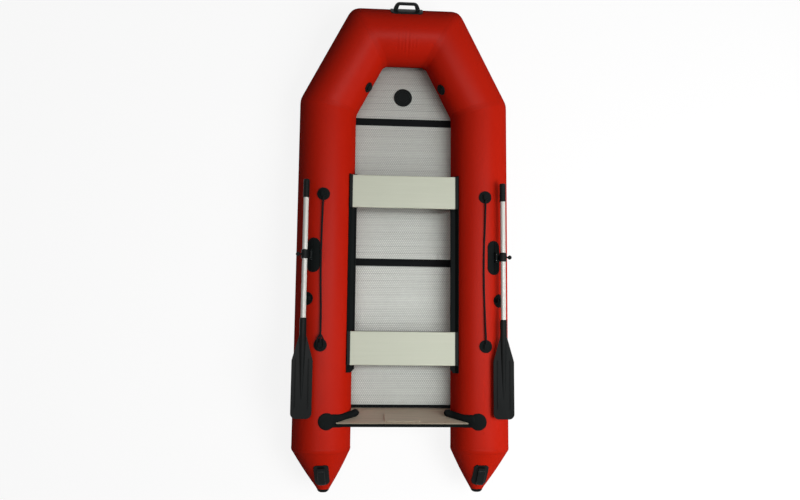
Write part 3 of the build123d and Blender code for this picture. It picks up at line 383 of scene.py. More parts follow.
def profile_black():
    paint = Paint("profile_black", {"Specular IOR Level": 0.03})
    along = paint.parts(paint.place)[1]
    scuff = paint.noise(20.0, stretch=(0.2, 3.0, 1.0), detail=5.0)
    paint.wire("Base Color", paint.mix(scuff, (0.003, 0.004, 0.004, 1), (0.006, 0.007, 0.008, 1)))
    paint.wire("Roughness", 0.34 + scuff * 0.22)
    paint.bump((along * (2 * math.pi / PROFILE_RIB)).sine(), 0.5, 0.0006)
    return paint.material


def floor_metal():
    paint = Paint("floor_metal", {"Metallic": 0.35, "Specular IOR Level": 0.3})
    planks = paint.parts(paint.place)[1] / FLOOR_PLANK
    plank = planks.floor()
    tone = paint.node("ShaderNodeTexWhiteNoise", {"noise_dimensions": "1D"}, {"W": plank}, "Value")
    streak = paint.noise(6.0, stretch=(0.35, 34.0, 1.0), detail=6.0)
    cloud = paint.noise(3.2, detail=3.0)
    groove = abs(planks % 1.0 - 0.5) > PLANK_GROOVE
    blend = tone * 0.25 + streak * 0.55 + cloud * 0.2
    clean = paint.mix(blend, (0.275, 0.287, 0.266, 1), (0.38, 0.397, 0.371, 1))
    paint.wire("Base Color", paint.mix(groove * 0.45, clean, (0.17, 0.175, 0.17, 1)))
    paint.wire("Roughness", 0.36 + streak * 0.22)
    paint.bump(streak * 0.4 - groove * 1.0, 0.35, 0.0008)
    return paint.material


def stud_metal():
    paint = Paint("stud_metal", {"Metallic": 0.6, "Specular IOR Level": 0.4})
    worn = paint.noise(30.0, detail=4.0)
    paint.wire("Base Color", paint.mix(worn, (0.36, 0.378, 0.351, 1), (0.576, 0.594, 0.5625, 1)))
    paint.wire("Roughness", 0.24 + worn * 0.16)
    paint.bump(paint.noise(700.0, detail=2.0), 0.15, 0.0003)
    return paint.material


def seat_paint():
    paint = Paint("seat_paint", {"Specular IOR Level": 0.25, "Coat Weight": 0.05, "Coat Roughness": 0.3})
    streak = paint.noise(5.0, stretch=(0.5, 22.0, 1.0), detail=5.0)
    cloud = paint.noise(4.0, detail=3.0)
    blend = streak * 0.7 + cloud * 0.3
    paint.wire("Base Color", paint.mix(blend, (0.475, 0.50, 0.40, 1), (0.56, 0.58, 0.48, 1)))
    paint.wire("Roughness", 0.40 + streak * 0.15)
    paint.bump(streak + paint.noise(600.0, detail=2.0) * 0.3, 0.15, 0.0005)
    return paint.material


def transom_plywood():
    paint = Paint("transom_plywood", {"Specular IOR Level": 0.4, "Coat Weight": 0.15, "Coat Roughness": 0.35})
    warp = paint.noise(2.0, stretch=(1.0, 1.0, 3.0), detail=3.0)
    across, unused, up = paint.parts(paint.place)
    rings = (up * GROWTH_RINGS + warp * 16.0 + across * 2.0).sine() * 0.5 + 0.5
    pores = paint.noise(60.0, stretch=(0.05, 1.0, 1.6), detail=5.0)
    grain = rings * 0.45 + pores * 0.55
    face = paint.mix(grain, (0.70, 0.61, 0.47, 1), (0.54, 0.46, 0.35, 1))
    edge = paint.mix(grain, (0.28, 0.24, 0.18, 1), (0.22, 0.18, 0.13, 1))
    rise = paint.parts(paint.node("ShaderNodeTexCoord", output="Normal"))[2]
    paint.wire("Base Color", paint.mix(rise > SEALED_EDGE_RISE, face, edge))
    paint.wire("Roughness", 0.42 + pores * 0.2)
    paint.bump(pores * 0.7 + rings * 0.3, 0.2, 0.0006)
    return paint.material


def shaft_white():
    paint = Paint("shaft_white", {"Specular IOR Level": 0.5, "Coat Weight": 0.25, "Coat Roughness": 0.18})
    streak = paint.noise(40.0, stretch=(1.0, 0.06, 1.0), detail=4.0)
    paint.wire("Base Color", paint.mix(streak, (0.50, 0.50, 0.46, 1), (0.59, 0.59, 0.55, 1)))
    paint.wire("Roughness", 0.26 + streak * 0.12)
    paint.bump(streak, 0.08, 0.0004)
    return paint.material


def bright_steel():
    paint = Paint("bright_steel", {"Metallic": 1.0})
    streak = paint.noise(300.0, stretch=(1.0, 0.08, 1.0), detail=3.0)
    paint.wire("Base Color", paint.mix(streak, (0.46, 0.46, 0.45, 1), (0.62, 0.62, 0.61, 1)))
    paint.wire("Roughness", 0.20 + streak * 0.18)
    paint.bump(streak, 0.1, 0.0002)
    return paint.material


def black_rope():
    paint = Paint("black_rope", {"Specular IOR Level": 0.1})
    fleck = paint.noise(420.0, detail=3.0)
    paint.wire("Base Color", paint.mix(fleck, (0.004, 0.004, 0.005, 1), (0.014, 0.014, 0.015, 1)))
    paint.wire("Roughness", 0.70 + fleck * 0.2)
    paint.bump(paint.noise(2200.0, detail=2.0), 0.4, 0.0004)
    return paint.material


# Pieces

def new_piece(name, mesh, body, finish=None):
    """An object with this mesh that moves with a body, in the finish given where there is one."""
    piece = bpy.data.objects.new(name, mesh)
    bpy.context.scene.collection.objects.link(piece)
    if finish is not None:
        mesh.materials.clear()
        mesh.materials.append(finish)
    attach(piece, body)
    return piece


def new_growth(name, counts, lengths, build):
    """A Geometry Nodes tree with one named input for each count, length and finish, wired by build."""
    group = bpy.data.node_groups.new(name, "GeometryNodeTree")
    group.interface.new_socket("Geometry", in_out="OUTPUT", socket_type="NodeSocketGeometry")
    kinds = {"Geometry": "NodeSocketGeometry", "Finish": "NodeSocketMaterial"}
    kinds.update({count: "NodeSocketInt" for count in counts})
    kinds.update({length: "NodeSocketFloat" for length in lengths})
    for size, kind in kinds.items():
        group.interface.new_socket(size, in_out="INPUT", socket_type=kind)
    tree = Tree(group)
    outlet = group.nodes.new("NodeGroupOutput")
    tree.feed(outlet.inputs[0], build(tree, tree.outputs("NodeGroupInput")))
    return group


def realized(tree, geometry, finish):
    """The geometry as plain mesh, in its finish."""
    plain = tree.node("GeometryNodeRealizeInstances", {}, {0: geometry})
    return tree.node("GeometryNodeSetMaterial", {}, {"Geometry": plain, "Material": finish})


def evaluated_mesh(name, data, group=None, values=None):
    """The plain mesh of a curve or mesh, grown by a Geometry Nodes tree where one is given."""
    carrier = bpy.data.objects.new(name, data)
    bpy.context.scene.collection.objects.link(carrier)
    if group is not None:
        modifier = carrier.modifiers.new("growth", "NODES")
        modifier.node_group = group
        for item in group.interface.items_tree:
            if item.in_out == "INPUT" and item.name in values:
                modifier[item.identifier] = values[item.name]
    mesh = bpy.data.meshes.new_from_object(carrier.evaluated_get(bpy.context.evaluated_depsgraph_get()))
    mesh.name = name
    bpy.data.objects.remove(carrier)
    return mesh


def grown_mesh(name, group, values):
    """The mesh that a Geometry Nodes tree makes from nothing but these values."""
    return evaluated_mesh(name, bpy.data.meshes.new(name + "_seed"), group, values)


def ring_quads(rows, sides, start=0, closed=False):
    """Faces between each ring of points and the next."""
    faces = []
    for row in range(rows if closed else rows - 1):
        here = start + row * sides
        there = start + (row + 1) % rows * sides
        for side in range(sides):
            after = (side + 1) % sides
            faces.append((here + side, there + side, there + after, here + after))
    return faces


def smooth(mesh, sharp_edges):
    mesh.polygons.foreach_set("use_smooth", [True] * len(mesh.polygons))
    if sharp_edges:
        mesh.set_sharp_from_angle(angle=SHARP_ANGLE)


# Air tubes

def unit(vectors):
    return vectors / np.linalg.norm(vectors, axis=-1, keepdims=True)


def hull_corners():
    """Where the tubes' axis turns, from the starboard cone's end round the bow to the port one's."""
    low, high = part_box("starboard_side_tube")
    bow_low, bow_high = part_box("bow_cross_tube")
    cone_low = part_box("starboard_stern_cone")[0]
    axis_x = (low.x + high.x) / 2
    axis_z = (low.z + high.z) / 2
    bow = (bow_low + bow_high) / 2
    half = [Vector((axis_x, cone_low.y, axis_z)), Vector((axis_x, low.y, axis_z)),
            Vector((axis_x, bow.y - SHOULDER_SETBACK, axis_z)), Vector((BOW_CORNER_X, bow.y, bow.z))]
    return half + [Vector((-point.x, point.y, point.z)) for point in reversed(half)]


class Hull:
    """The air tubes' skin: mitre rings at the corners, joined by straight lines, each corner rounded."""

    def __init__(self):
        low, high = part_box("starboard_side_tube")
        self.radius = (high.z - low.z) / 2
        self.corners = hull_corners()
        self.angles = np.linspace(0, 2 * math.pi, TUBE_SIDES, endpoint=False)
        self.rings, self.spokes, self.outer = [], [], []
        runs = [(b - a).normalized() for a, b in zip(self.corners, self.corners[1:])]
        outboard = runs[0].cross(UP)
        rise = outboard.cross(runs[0])
        last = len(self.corners) - 1
        for index, corner in enumerate(self.corners):
            before = runs[max(index - 1, 0)]
            after = runs[min(index, last - 1)]
            spokes = np.outer(np.cos(self.angles), outboard) + np.outer(np.sin(self.angles), rise)
            mitre = np.array((before + after).normalized())
            slide = -(spokes @ mitre) / (np.array(before) @ mitre)
            size = CONE_END_RADIUS if index in (0, last) else self.radius
            self.rings.append(np.array(corner) + size * (spokes + np.outer(slide, before)))
            self.spokes.append(spokes)
            bend = before - after
            bends = bend.length > STRAIGHT_BEND
            self.outer.append((1 + spokes @ np.array(bend.normalized())) / 2 if bends else None)
            turn = before.rotation_difference(after)
            outboard, rise = turn @ outboard, turn @ rise
        self.reaches = [self.reach(index) for index in range(last + 1)]

    def reach(self, index):
        """How far from a corner its rounding starts, at each point round the tube."""
        last = len(self.corners) - 1
        kind = min(index, last - index)
        if kind == 0:
            return np.zeros(TUBE_SIDES)
        inner, outer = (CONE_SEAM_REACH, SHOULDER_REACH, BOW_REACH)[kind - 1]
        share = self.outer[index]
        return np.full(TUBE_SIDES, inner) if share is None else inner + (outer - inner) * share

    def rounding(self, index, part):
        """Points this part of the way round a corner, on the curve that rounds it."""
        ring = self.rings[index]
        reach = self.reaches[index][:, None]
        start = ring + reach * unit(self.rings[index - 1] - ring)
        end = ring + reach * unit(self.rings[index + 1] - ring)
        return (1 - part) ** 2 * start + 2 * part * (1 - part) * ring + part ** 2 * end

    def near_corner(self, index, along):
        """Points on the skin this far along it from a corner's seam, forward or back."""
        reach = self.reaches[index]
        part = np.clip((along + reach) / (2 * reach), 0, 1)[:, None]
        past = np.maximum(abs(along) - reach, 0)[:, None]
        beyond = unit(self.rings[index + (1 if along > 0 else -1)] - self.rings[index])
        return self.leaned(self.rounding(index, part) + past * beyond)

    def leaned(self, points):
        """The points moved inboard where they lie on a cone, which leans that way."""
        base, tip = self.corners[1].y, self.corners[0].y
        share = np.clip((base - points[..., 1]) / (base - tip), 0, None)
        shift = np.zeros_like(points)
        shift[..., 0] = -np.sign(points[..., 0]) * CONE_INSET * share
        return points + shift

    def straight(self, index):
        """The rows along one straight run, between the roundings of its two corners."""
        start, end = self.rings[index], self.rings[index + 1]
        ahead = unit(end - start)
        first = start + self.reaches[index][:, None] * ahead
        final = end - self.reaches[index + 1][:, None] * ahead
        spacing = BOW_ROW_SPACING if RUN_NAMES[index] == "bow_cross_tube" else ROW_SPACING
        count = max(FEWEST_ROWS, int(np.linalg.norm(final - first, axis=1).mean() / spacing))
        cone = index in (0, len(self.corners) - 2)
        rows = []
        for share in np.linspace(0, 1, count + 1):
            swell = CONE_BULGE * math.sin(math.pi * share) if cone else 0.0
            rows.append(first + (final - first) * share + swell * self.spokes[index])
        return rows

    def grid(self):
        """All rows of the skin, and the numbers of the rows that lie on a seam."""
        rows = []
        seams = []
        for index in range(len(self.corners) - 1):
            rows += self.straight(index)
            if index + 1 < len(self.corners) - 1:
                seams.append(len(rows) + ARC_ROWS // 2 - 1)
                rows += [self.rounding(index + 1, step / ARC_ROWS) for step in range(1, ARC_ROWS)]
        return self.leaned(np.array(rows)), seams


def grid_normals(points):
    along = np.gradient(points, axis=0)
    around = np.roll(points, -1, axis=1) - np.roll(points, 1, axis=1)
    return unit(np.cross(along, around))


def puckered(hull, points, seams):
    """Small puckers beside the seams, deepest inside each bend, and a few wrinkles in mid-bow."""
    normals = grid_normals(points)
    moved = points.copy()
    for corner, row in enumerate(seams, start=1):
        distance = np.linalg.norm(points - points[row], axis=2)
        share = hull.outer[corner]
        inside = np.full(TUBE_SIDES, STRAIGHT_PUCKER) if share is None else (1 - share) ** 2
        wave = np.sin(PUCKER_COUNT * hull.angles + corner) * np.sin(PUCKER_BEAT * hull.angles + 2 * corner)
        height = PUCKER_HEIGHT * np.exp(-(distance / PUCKER_REACH) ** 2) * inside * wave
        moved += normals * height[:, :, None]
    across = points[:, :, 0]
    turn = 2 * math.pi * across / WRINKLE_WAVE
    main, second = WRINKLE_SHARES
    fold = main * np.cos(turn) + second * np.cos(WRINKLE_BEAT * turn + 1.0)
    fold *= np.exp(-(across / WRINKLE_REACH) ** 2)
    facing = np.exp(-((hull.angles - WRINKLE_ANGLE) / WRINKLE_SPREAD) ** 2)
    return moved + normals * (WRINKLE_HEIGHT * fold * facing)[:, :, None]


def skin_mesh(name, points, normals, lengths, first_tip, last_tip):
    """A tube of quads through rows of points, closed at a cone's tip, with a UV map in metres named skin."""
    rows, sides = points.shape[:2]
    faces = ring_quads(rows, sides)
    marks = []
    girth = np.linalg.norm(points[0] - np.roll(points[0], -1, axis=0), axis=1).sum() / sides
    for row in range(rows - 1):
        for side in range(sides):
            marks += [lengths[row], side * girth, lengths[row + 1], side * girth,
                      lengths[row + 1], (side + 1) * girth, lengths[row], (side + 1) * girth]
    if first_tip:
        faces.append(tuple(range(sides)))
    if last_tip:
        faces.append(tuple(reversed(range((rows - 1) * sides, rows * sides))))
    marks += [0.0, 0.0] * sides * (first_tip + last_tip)
    mesh = bpy.data.meshes.new(name)
    mesh.from_pydata(points.reshape(-1, 3).tolist(), [], faces)
    mesh.uv_layers.new(name="skin").data.foreach_set("uv", marks)
    smooth(mesh, sharp_edges=False)
    mesh.normals_split_custom_set_from_vertices(normals.reshape(-1, 3).tolist())
    return mesh


def air_tubes(hull, finish):
    points, seams = hull.grid()
    points = puckered(hull, points, seams)
    normals = grid_normals(points)
    steps = np.linalg.norm(np.diff(points[:, 0], axis=0), axis=1)
    lengths = np.concatenate([[0.0], np.cumsum(steps)])
    cuts = [0] + seams + [len(points) - 1]
    for name, start, end in zip(RUN_NAMES, cuts, cuts[1:]):
        span = slice(start, end + 1)
        mesh = skin_mesh(name + "_skin", points[span], normals[span], lengths[span],
                         name == RUN_NAMES[0], name == RUN_NAMES[-1])
        piece = new_piece(name + "_skin", mesh, "hull", finish)
        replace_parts(piece, name)


def seam_tapes(hull, finish):
    """Welded tapes over the mitres and the cones' seams, each a closed band round the tube."""
    half, bevel = TAPE_HALF_WIDTH, TAPE_BEVEL
    profile = [(-half, -TAPE_SUNK), (-half, TAPE_THICKNESS * 0.5), (bevel - half, TAPE_THICKNESS)]
    profile += [(step * half / TAPE_STEPS, TAPE_THICKNESS) for step in range(1 - TAPE_STEPS, TAPE_STEPS)]
    profile += [(half - bevel, TAPE_THICKNESS), (half, TAPE_THICKNESS * 0.5), (half, -TAPE_SUNK)]
    vertices = []
    faces = []
    for corner in range(1, len(hull.corners) - 1):
        faces += ring_quads(len(profile), TUBE_SIDES, len(vertices), closed=True)
        for along, lift in profile:
            probes = (along - TAPE_PROBE, along, along + TAPE_PROBE)
            trio = np.array([hull.near_corner(corner, probe) for probe in probes])
            normals = grid_normals(trio)[1]
            vertices += (trio[1] + normals * lift).tolist()
    mesh = bpy.data.meshes.new("seam_tapes")
    mesh.from_pydata(vertices, [], faces)
    smooth(mesh, sharp_edges=True)
    new_piece("seam_tapes", mesh, "hull", finish)


# Cone tips

def stacked_mesh(name, stacks):
    """One closed shell from each stack of rings, with both of its ends closed."""
    shell = bmesh.new()
    for rings in stacks:
        rows = [[shell.verts.new(point) for point in ring] for ring in rings]
        for first, second in zip(rows, rows[1:]):
            for step in range(len(first)):
                shell.faces.new((first[step - 1], first[step], second[step], second[step - 1]))
        shell.faces.new(rows[0])
        shell.faces.new(rows[-1])
    bmesh.ops.remove_doubles(shell, verts=shell.verts, dist=MERGE_DISTANCE)
    bmesh.ops.recalc_face_normals(shell, faces=shell.faces)
    mesh = bpy.data.meshes.new(name)
    shell.to_mesh(mesh)
    shell.free()
    smooth(mesh, sharp_edges=True)
    return mesh


def round_steps():
    return np.linspace(0, 2 * math.pi, RING_SIDES, endpoint=False)


def turned_mesh(name, profile):
    """A profile of (radius, distance aft of the cone's end) turned round both cone caps' axes."""
    low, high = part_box("cone_caps")
    middle = (low + high) / 2
    offset = high.x - (high.z - low.z) / 2
    stacks = []
    for side in (-1, 1):
        stacks.append([[(side * offset + radius * math.cos(turn), high.y - aft,
                         middle.z + radius * math.sin(turn)) for turn in round_steps()]
                       for radius, aft in profile])
    return stacked_mesh(name, stacks)


def cone_tips(skin, rubber):
    """The skins' turned-in lips and the rubber caps in them, which go on along the cones' taper."""
    new_piece("cone_lips", turned_mesh("cone_lips", LIP_PROFILE), "hull", skin)
    domes = turned_mesh("cone_cap_domes", CAP_PROFILE)
    cap = new_piece("cone_cap_domes", domes, "hull", rubber)
    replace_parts(cap, "cone_caps")


# Transom holders

def smooth_rows(stations):
    """Rows on a Catmull-Rom curve through the stations."""
    known = np.array(stations)
    padded = np.vstack([2 * known[0] - known[1], known, 2 * known[-1] - known[-2]])
    rows = []
    for a, b, c, d in zip(padded, padded[1:], padded[2:], padded[3:]):
        for share in np.linspace(0, 1, HOLDER_STEPS, endpoint=False):
            rows.append(0.5 * (2 * b + (c - a) * share + (2 * a - 5 * b + 4 * c - d) * share ** 2
                               + (3 * b - a - 3 * c + d) * share ** 3))
    return np.array(rows + [known[-1]])


def arm_rings(stations, origin, side):
    """Rings of an arm that runs in over the tube, as wide as its stations say."""
    rows = smooth_rows(stations)
    ahead = unit(np.gradient(rows[:, (0, 2)], axis=0))
    rings = []
    for (x, y, z, wide, high), (run, fall) in zip(rows, ahead):
        ring = []
        for turn in round_steps():
            lift = high * math.sin(turn)
            ring.append((side * (origin.x + x - fall * lift), origin.y + y + wide * math.cos(turn),
                         origin.z + z + run * lift))
        rings.append(ring)
    return rings


def disc_rings(hull, origin, side):
    """Rings of a round pad that lies on the tube."""
    offset, ahead = HOLDER_DISC_PLACE
    middle = math.acos(offset / hull.radius)
    rings = []
    for radius, height in HOLDER_DISC:
        reach = hull.radius + height
        ring = []
        for turn in round_steps():
            angle = middle - radius * math.cos(turn) / hull.radius
            ring.append((side * (origin.x + reach * math.cos(angle)),
                         origin.y + ahead + radius * math.sin(turn), origin.z + reach * math.sin(angle)))
        rings.append(ring)
    return rings


def transom_holders(hull, finish):
    """The moulded holders: a round pad on each tube with an arm on either side of the board."""
    origin = Vector((hull.corners[1].x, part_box("transom_trim")[0].y, hull.corners[1].z))
    stacks = []
    for side in (-1, 1):
        stacks += [disc_rings(hull, origin, side), arm_rings(HOLDER_FRONT_ARM, origin, side),
                   arm_rings(HOLDER_BACK_ARM, origin, side)]
    mesh = stacked_mesh("transom_holder_mouldings", stacks)
    piece = new_piece("transom_holder_mouldings", mesh, "hull", finish)
    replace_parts(piece, "transom_holders")


# Transom trim

def trim_ends(finish):
    """Rubber ends of the transom's top trim, from the trim to the tube over each corner of the board."""
    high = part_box("transom_trim")[1]
    solid = frame["nodes"]["transom_trim"].data
    rim = [vertex.co for vertex in solid.vertices if vertex.co.x > high.x - TRIM_END_FACE]
    crown = sorted((point.y, point.z) for point in rim if point.z > high.z - TRIM_CROWN)
    foot = high.z - TRIM_END_DEPTH
    section = crown + [(crown[-1][0], foot), (crown[0][0], foot)]
    count = len(section)
    vertices = []
    faces = []
    for side in (-1, 1):
        start = len(vertices)
        for reach, rise in ((-TRIM_END_LAP, 0.0), (TRIM_END_LENGTH, TRIM_END_RISE)):
            vertices += [(side * (high.x + reach), y, z + rise) for y, z in section]
        near = range(start, start + count)
        far = range(start + count, start + 2 * count)
        loops = [tuple(near), tuple(reversed(far))] + ring_quads(2, count, start)
        faces += [loop[::-1] for loop in loops] if side < 0 else loops
    mesh = bpy.data.meshes.new("trim_ends")
    mesh.from_pydata(vertices, [], faces)
    new_piece("trim_ends", mesh, "hull", finish)


def narrow_trim(finish):
    """The transom's top trim with its front edge set back, so that the board's edge shows before it."""
    low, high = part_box("transom_trim")
    mesh = frame["nodes"]["transom_trim"].data.copy()
    for vertex in mesh.vertices:
        if vertex.co.y > (low.y + high.y) / 2:
            vertex.co.y -= TRIM_SETBACK
    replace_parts(new_piece("transom_trim_strip", mesh, "hull", finish), "transom_trim")


# Floor studs

def build_studs(tree, size):
    """Staggered rows of studs that fill a panel between two straight sides."""
    span_x = (size["Columns"] - 1.0) * size["Pitch"]
    span_y = (size["Rows"] - 1.0) * size["Row pitch"]
    grid = tree.node("GeometryNodeMeshGrid", {}, {"Size X": span_x, "Size Y": span_y,
                     "Vertices X": size["Columns"], "Vertices Y": size["Rows"]})
    y = tree.parts(tree.node("GeometryNodeInputPosition"))[1]
    row = (y / size["Row pitch"] + STUD_FIRST_ROW).floor()
    shift = row % 2.0 * size["Pitch"] * 0.5
    offset = tree.node("ShaderNodeCombineXYZ", {}, {0: shift, 1: size["Middle y"], 2: size["Top z"]})
    rows = tree.node("GeometryNodeSetPosition", {}, {"Geometry": grid, "Offset": offset})
    placed_x, placed_y = tree.parts(tree.node("GeometryNodeInputPosition"))[:2]
    ahead = (placed_y - size["Aft y"]) / (size["Front y"] - size["Aft y"])
    side = size["Aft half width"] + (size["Front half width"] - size["Aft half width"]) * ahead
    inside = abs(placed_x) < side
    stud = tree.node("GeometryNodeMeshCone", {"fill_type": "NGON"},
                     {"Vertices": STUD_SIDES, "Radius Top": size["Stud radius"] * STUD_TOP_SHARE,
                      "Radius Bottom": size["Stud radius"], "Depth": size["Stud height"]})
    copies = tree.node("GeometryNodeInstanceOnPoints", {},
                       {"Points": rows, "Selection": inside, "Instance": stud})
    return realized(tree, copies, size["Finish"])


def half_width(node, y, top):
    """Half the width of a panel's top near this place along the boat."""
    points = [v.co for v in frame["nodes"][node].data.vertices if v.co.z > top - TOP_FACE_DEPTH]
    nearest = min(abs(point.y - y) for point in points)
    return max(abs(point.x) for point in points if abs(point.y - y) < nearest + END_EDGE_DEPTH)


def floor_studs(finish):
    lengths = ("Pitch", "Row pitch", "Middle y", "Top z", "Aft y", "Front y", "Aft half width",
               "Front half width", "Stud radius", "Stud height")
    growth = new_growth("floor_studs", ("Columns", "Rows"), lengths, build_studs)
    panels = ["bow_floor_panel"] + [f"floor_panel_{number}" for number in range(1, 5)]
    for node in panels:
        low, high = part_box(node)
        front = high.y - (STUD_MARGIN if node == panels[0] else STUD_EDGE)
        aft = low.y + STUD_EDGE
        values = {"Columns": int((high.x - low.x) / STUD_PITCH), "Rows": int((front - aft) / STUD_ROW) + 1,
                  "Pitch": STUD_PITCH, "Row pitch": STUD_ROW, "Middle y": (front + aft) / 2,
                  "Top z": high.z, "Aft y": low.y, "Front y": high.y,
                  "Aft half width": half_width(node, low.y, high.z) - STUD_MARGIN,
                  "Front half width": half_width(node, high.y, high.z) - STUD_MARGIN,
                  "Stud radius": STUD_RADIUS, "Stud height": STUD_HEIGHT, "Finish": finish}
        mesh = grown_mesh(node + "_studs", growth, values)
        new_piece(node + "_studs", mesh, "hull")


# Seat slats

def build_slats(tree, size):
    """Flat slats side by side, with a fine gap between them."""
    pitch = size["Width"] / size["Count"]
    first = pitch * 0.5 - size["Width"] * 0.5
    start = tree.node("ShaderNodeCombineXYZ", {}, {0: 0.0, 1: size["Middle y"] + first, 2: size["Middle z"]})
    step = tree.node("ShaderNodeCombineXYZ", {}, {0: 0.0, 1: pitch, 2: 0.0})
    line = tree.node("GeometryNodeMeshLine", {"mode": "OFFSET"},
                     {"Count": size["Count"], "Start Location": start, "Offset": step})
    shape = tree.node("ShaderNodeCombineXYZ", {},
                      {0: size["Length"], 1: pitch - size["Gap"], 2: size["Height"]})
    slat = tree.node("GeometryNodeMeshCube", {}, {"Size": shape})
    copies = tree.node("GeometryNodeInstanceOnPoints", {}, {"Points": line, "Instance": slat})
    return realized(tree, copies, size["Finish"])


def seat_slats(finish):
    lengths = ("Width", "Length", "Gap", "Height", "Middle y", "Middle z")
    growth = new_growth("seat_slats", ("Count",), lengths, build_slats)
    for seat in ("front", "rear"):
        low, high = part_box(f"{seat}_seat_board")
        values = {"Count": SLAT_COUNT, "Width": high.y - low.y - 2 * SLAT_MARGIN,
                  "Length": high.x - low.x - 2 * SLAT_END, "Gap": SLAT_GAP, "Height": SLAT_HEIGHT,
                  "Middle y": (low.y + high.y) / 2, "Middle z": high.z + SLAT_HEIGHT * SLAT_LIFT,
                  "Finish": finish}
        mesh = grown_mesh(f"{seat}_seat_slats", growth, values)
        new_piece(f"{seat}_seat_slats", mesh, f"{seat}_seat")


# Grab lines

def route_curve(name, points, closed=False):
    curve = bpy.data.curves.new(name, "CURVE")
    curve.dimensions = "3D"
    spline = curve.splines.new("NURBS")
    spline.points.add(len(points) - 1)
    for point, place in zip(spline.points, points):
        point.co = (*place, 1.0)
    spline.order_u = 3
    spline.use_endpoint_u = not closed
    spline.use_cyclic_u = closed
    spline.resolution_u = LINE_STEPS
    return curve


def centre_line(curve):
    """The points that a curve runs through."""
    mesh = evaluated_mesh(curve.name + "_line", curve)
    points = [tuple(vertex.co) for vertex in mesh.vertices]
    bpy.data.meshes.remove(mesh)
    return points


def build_braid(tree, size):
    """Strands that wind both ways round a line, passing over and under each other, on a round core."""
    line = tree.node("GeometryNodeResampleCurve", {"mode": "LENGTH"},
                     {"Curve": size["Geometry"], "Length": size["Step"]})
    copies = tree.node("GeometryNodeDuplicateElements", {"domain": "SPLINE"},
                       {"Geometry": line, "Amount": size["Strands"]})
    number = Wire(tree, copies.socket.node.outputs["Duplicate Index"])
    length = tree.node("GeometryNodeSplineParameter", output="Length")
    turn = length / size["Braid pitch"] * (2 * math.pi)
    way = 1.0 - number % 2.0 * 2.0
    angle = number * (2 * math.pi) / size["Strands"] + turn * way
    reach = size["Ring"] + (turn * CROSSINGS).sine() * way * size["Wave"]
    normal = tree.node("GeometryNodeInputNormal")
    tangent = tree.node("GeometryNodeInputTangent")
    side = tree.vector("CROSS_PRODUCT", tangent, normal)
    outward = tree.vector("ADD", tree.scaled(normal, angle.cosine()), tree.scaled(side, angle.sine()))
    strands = tree.node("GeometryNodeSetPosition", {},
                        {"Geometry": copies, "Offset": tree.scaled(outward, reach)})
    thread = tree.node("GeometryNodeCurvePrimitiveCircle", {},
                       {"Resolution": STRAND_SIDES, "Radius": size["Strand radius"]})
    core = tree.node("GeometryNodeCurvePrimitiveCircle", {},
                     {"Resolution": CORE_SIDES, "Radius": size["Core radius"]})
    wound = tree.node("GeometryNodeCurveToMesh", {},
                      {"Curve": strands, "Profile Curve": thread, "Fill Caps": True})
    middle = tree.node("GeometryNodeCurveToMesh", {},
                       {"Curve": line, "Profile Curve": core, "Fill Caps": True})
    rope = tree.node("GeometryNodeJoinGeometry", {}, {0: [wound, middle]})
    soft = tree.node("GeometryNodeSetShadeSmooth", {}, {0: rope})
    return realized(tree, soft, size["Finish"])


def grab_lines(finish):
    lengths = {"Step": BRAID_STEP, "Braid pitch": BRAID_PITCH, "Ring": STRAND_RING, "Wave": STRAND_WAVE,
               "Strand radius": STRAND_RADIUS, "Core radius": CORE_RADIUS}
    growth = new_growth("braid", ("Strands",), lengths, build_braid)
    values = {"Strands": STRAND_COUNT, "Finish": finish, **lengths}
    for side, points in LINE_ROUTES.items():
        curve = route_curve(f"{side}_route", points)
        path = centre_line(curve)
        mesh = evaluated_mesh(f"{side}_braid", curve, growth, values)
        piece = new_piece(f"{side}_braid", mesh, "hull")
        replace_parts(piece, f"{side}_grab_line")
        ends = [line_eye(growth, values, points[-1])] if side == "port" else []


def line_eye(growth, values, end):
    """The spliced eye at a line's end, round its anchor's boss."""
    middle_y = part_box("line_anchors")[0].y + ANCHOR_RADIUS
    points = [(end[0] + x, middle_y + y, z) for x, y, z in EYE_ROUTE]
    thin = dict(values)
    for name in ("Ring", "Wave", "Strand radius", "Core radius"):
        thin[name] = values[name] * EYE_SCALE
    curve = route_curve("port_eye_route", points, closed=True)
    mesh = evaluated_mesh("port_line_eye", curve, growth, thin)
    return new_piece("port_line_eye", mesh, "hull")


# Stage

def add_area_light(name, place, size, power, diffuse=True, mirrored=True):
    light = bpy.data.lights.new(name, "AREA")
    light.shape = "RECTANGLE"
    light.size, light.size_y = size
    light.energy = power
    lamp = bpy.data.objects.new(name, light)
    bpy.context.scene.collection.objects.link(lamp)
    lamp.location = place
    lamp.visible_diffuse = diffuse
    lamp.visible_glossy = mirrored
    lamp.rotation_euler = (-Vector(place)).to_track_quat("-Z", "Y").to_euler()


def sight(tree):
    """1 on rays that come straight from the camera or by a mirror or clear glass, else 0."""
    rays = tree.outputs("ShaderNodeLightPath")
    seen = rays["Is Camera Ray"]
    for name in ("Is Glossy Ray", "Is Transmission Ray"):
        seen = seen.math("MAXIMUM", seen, rays[name])
    return seen


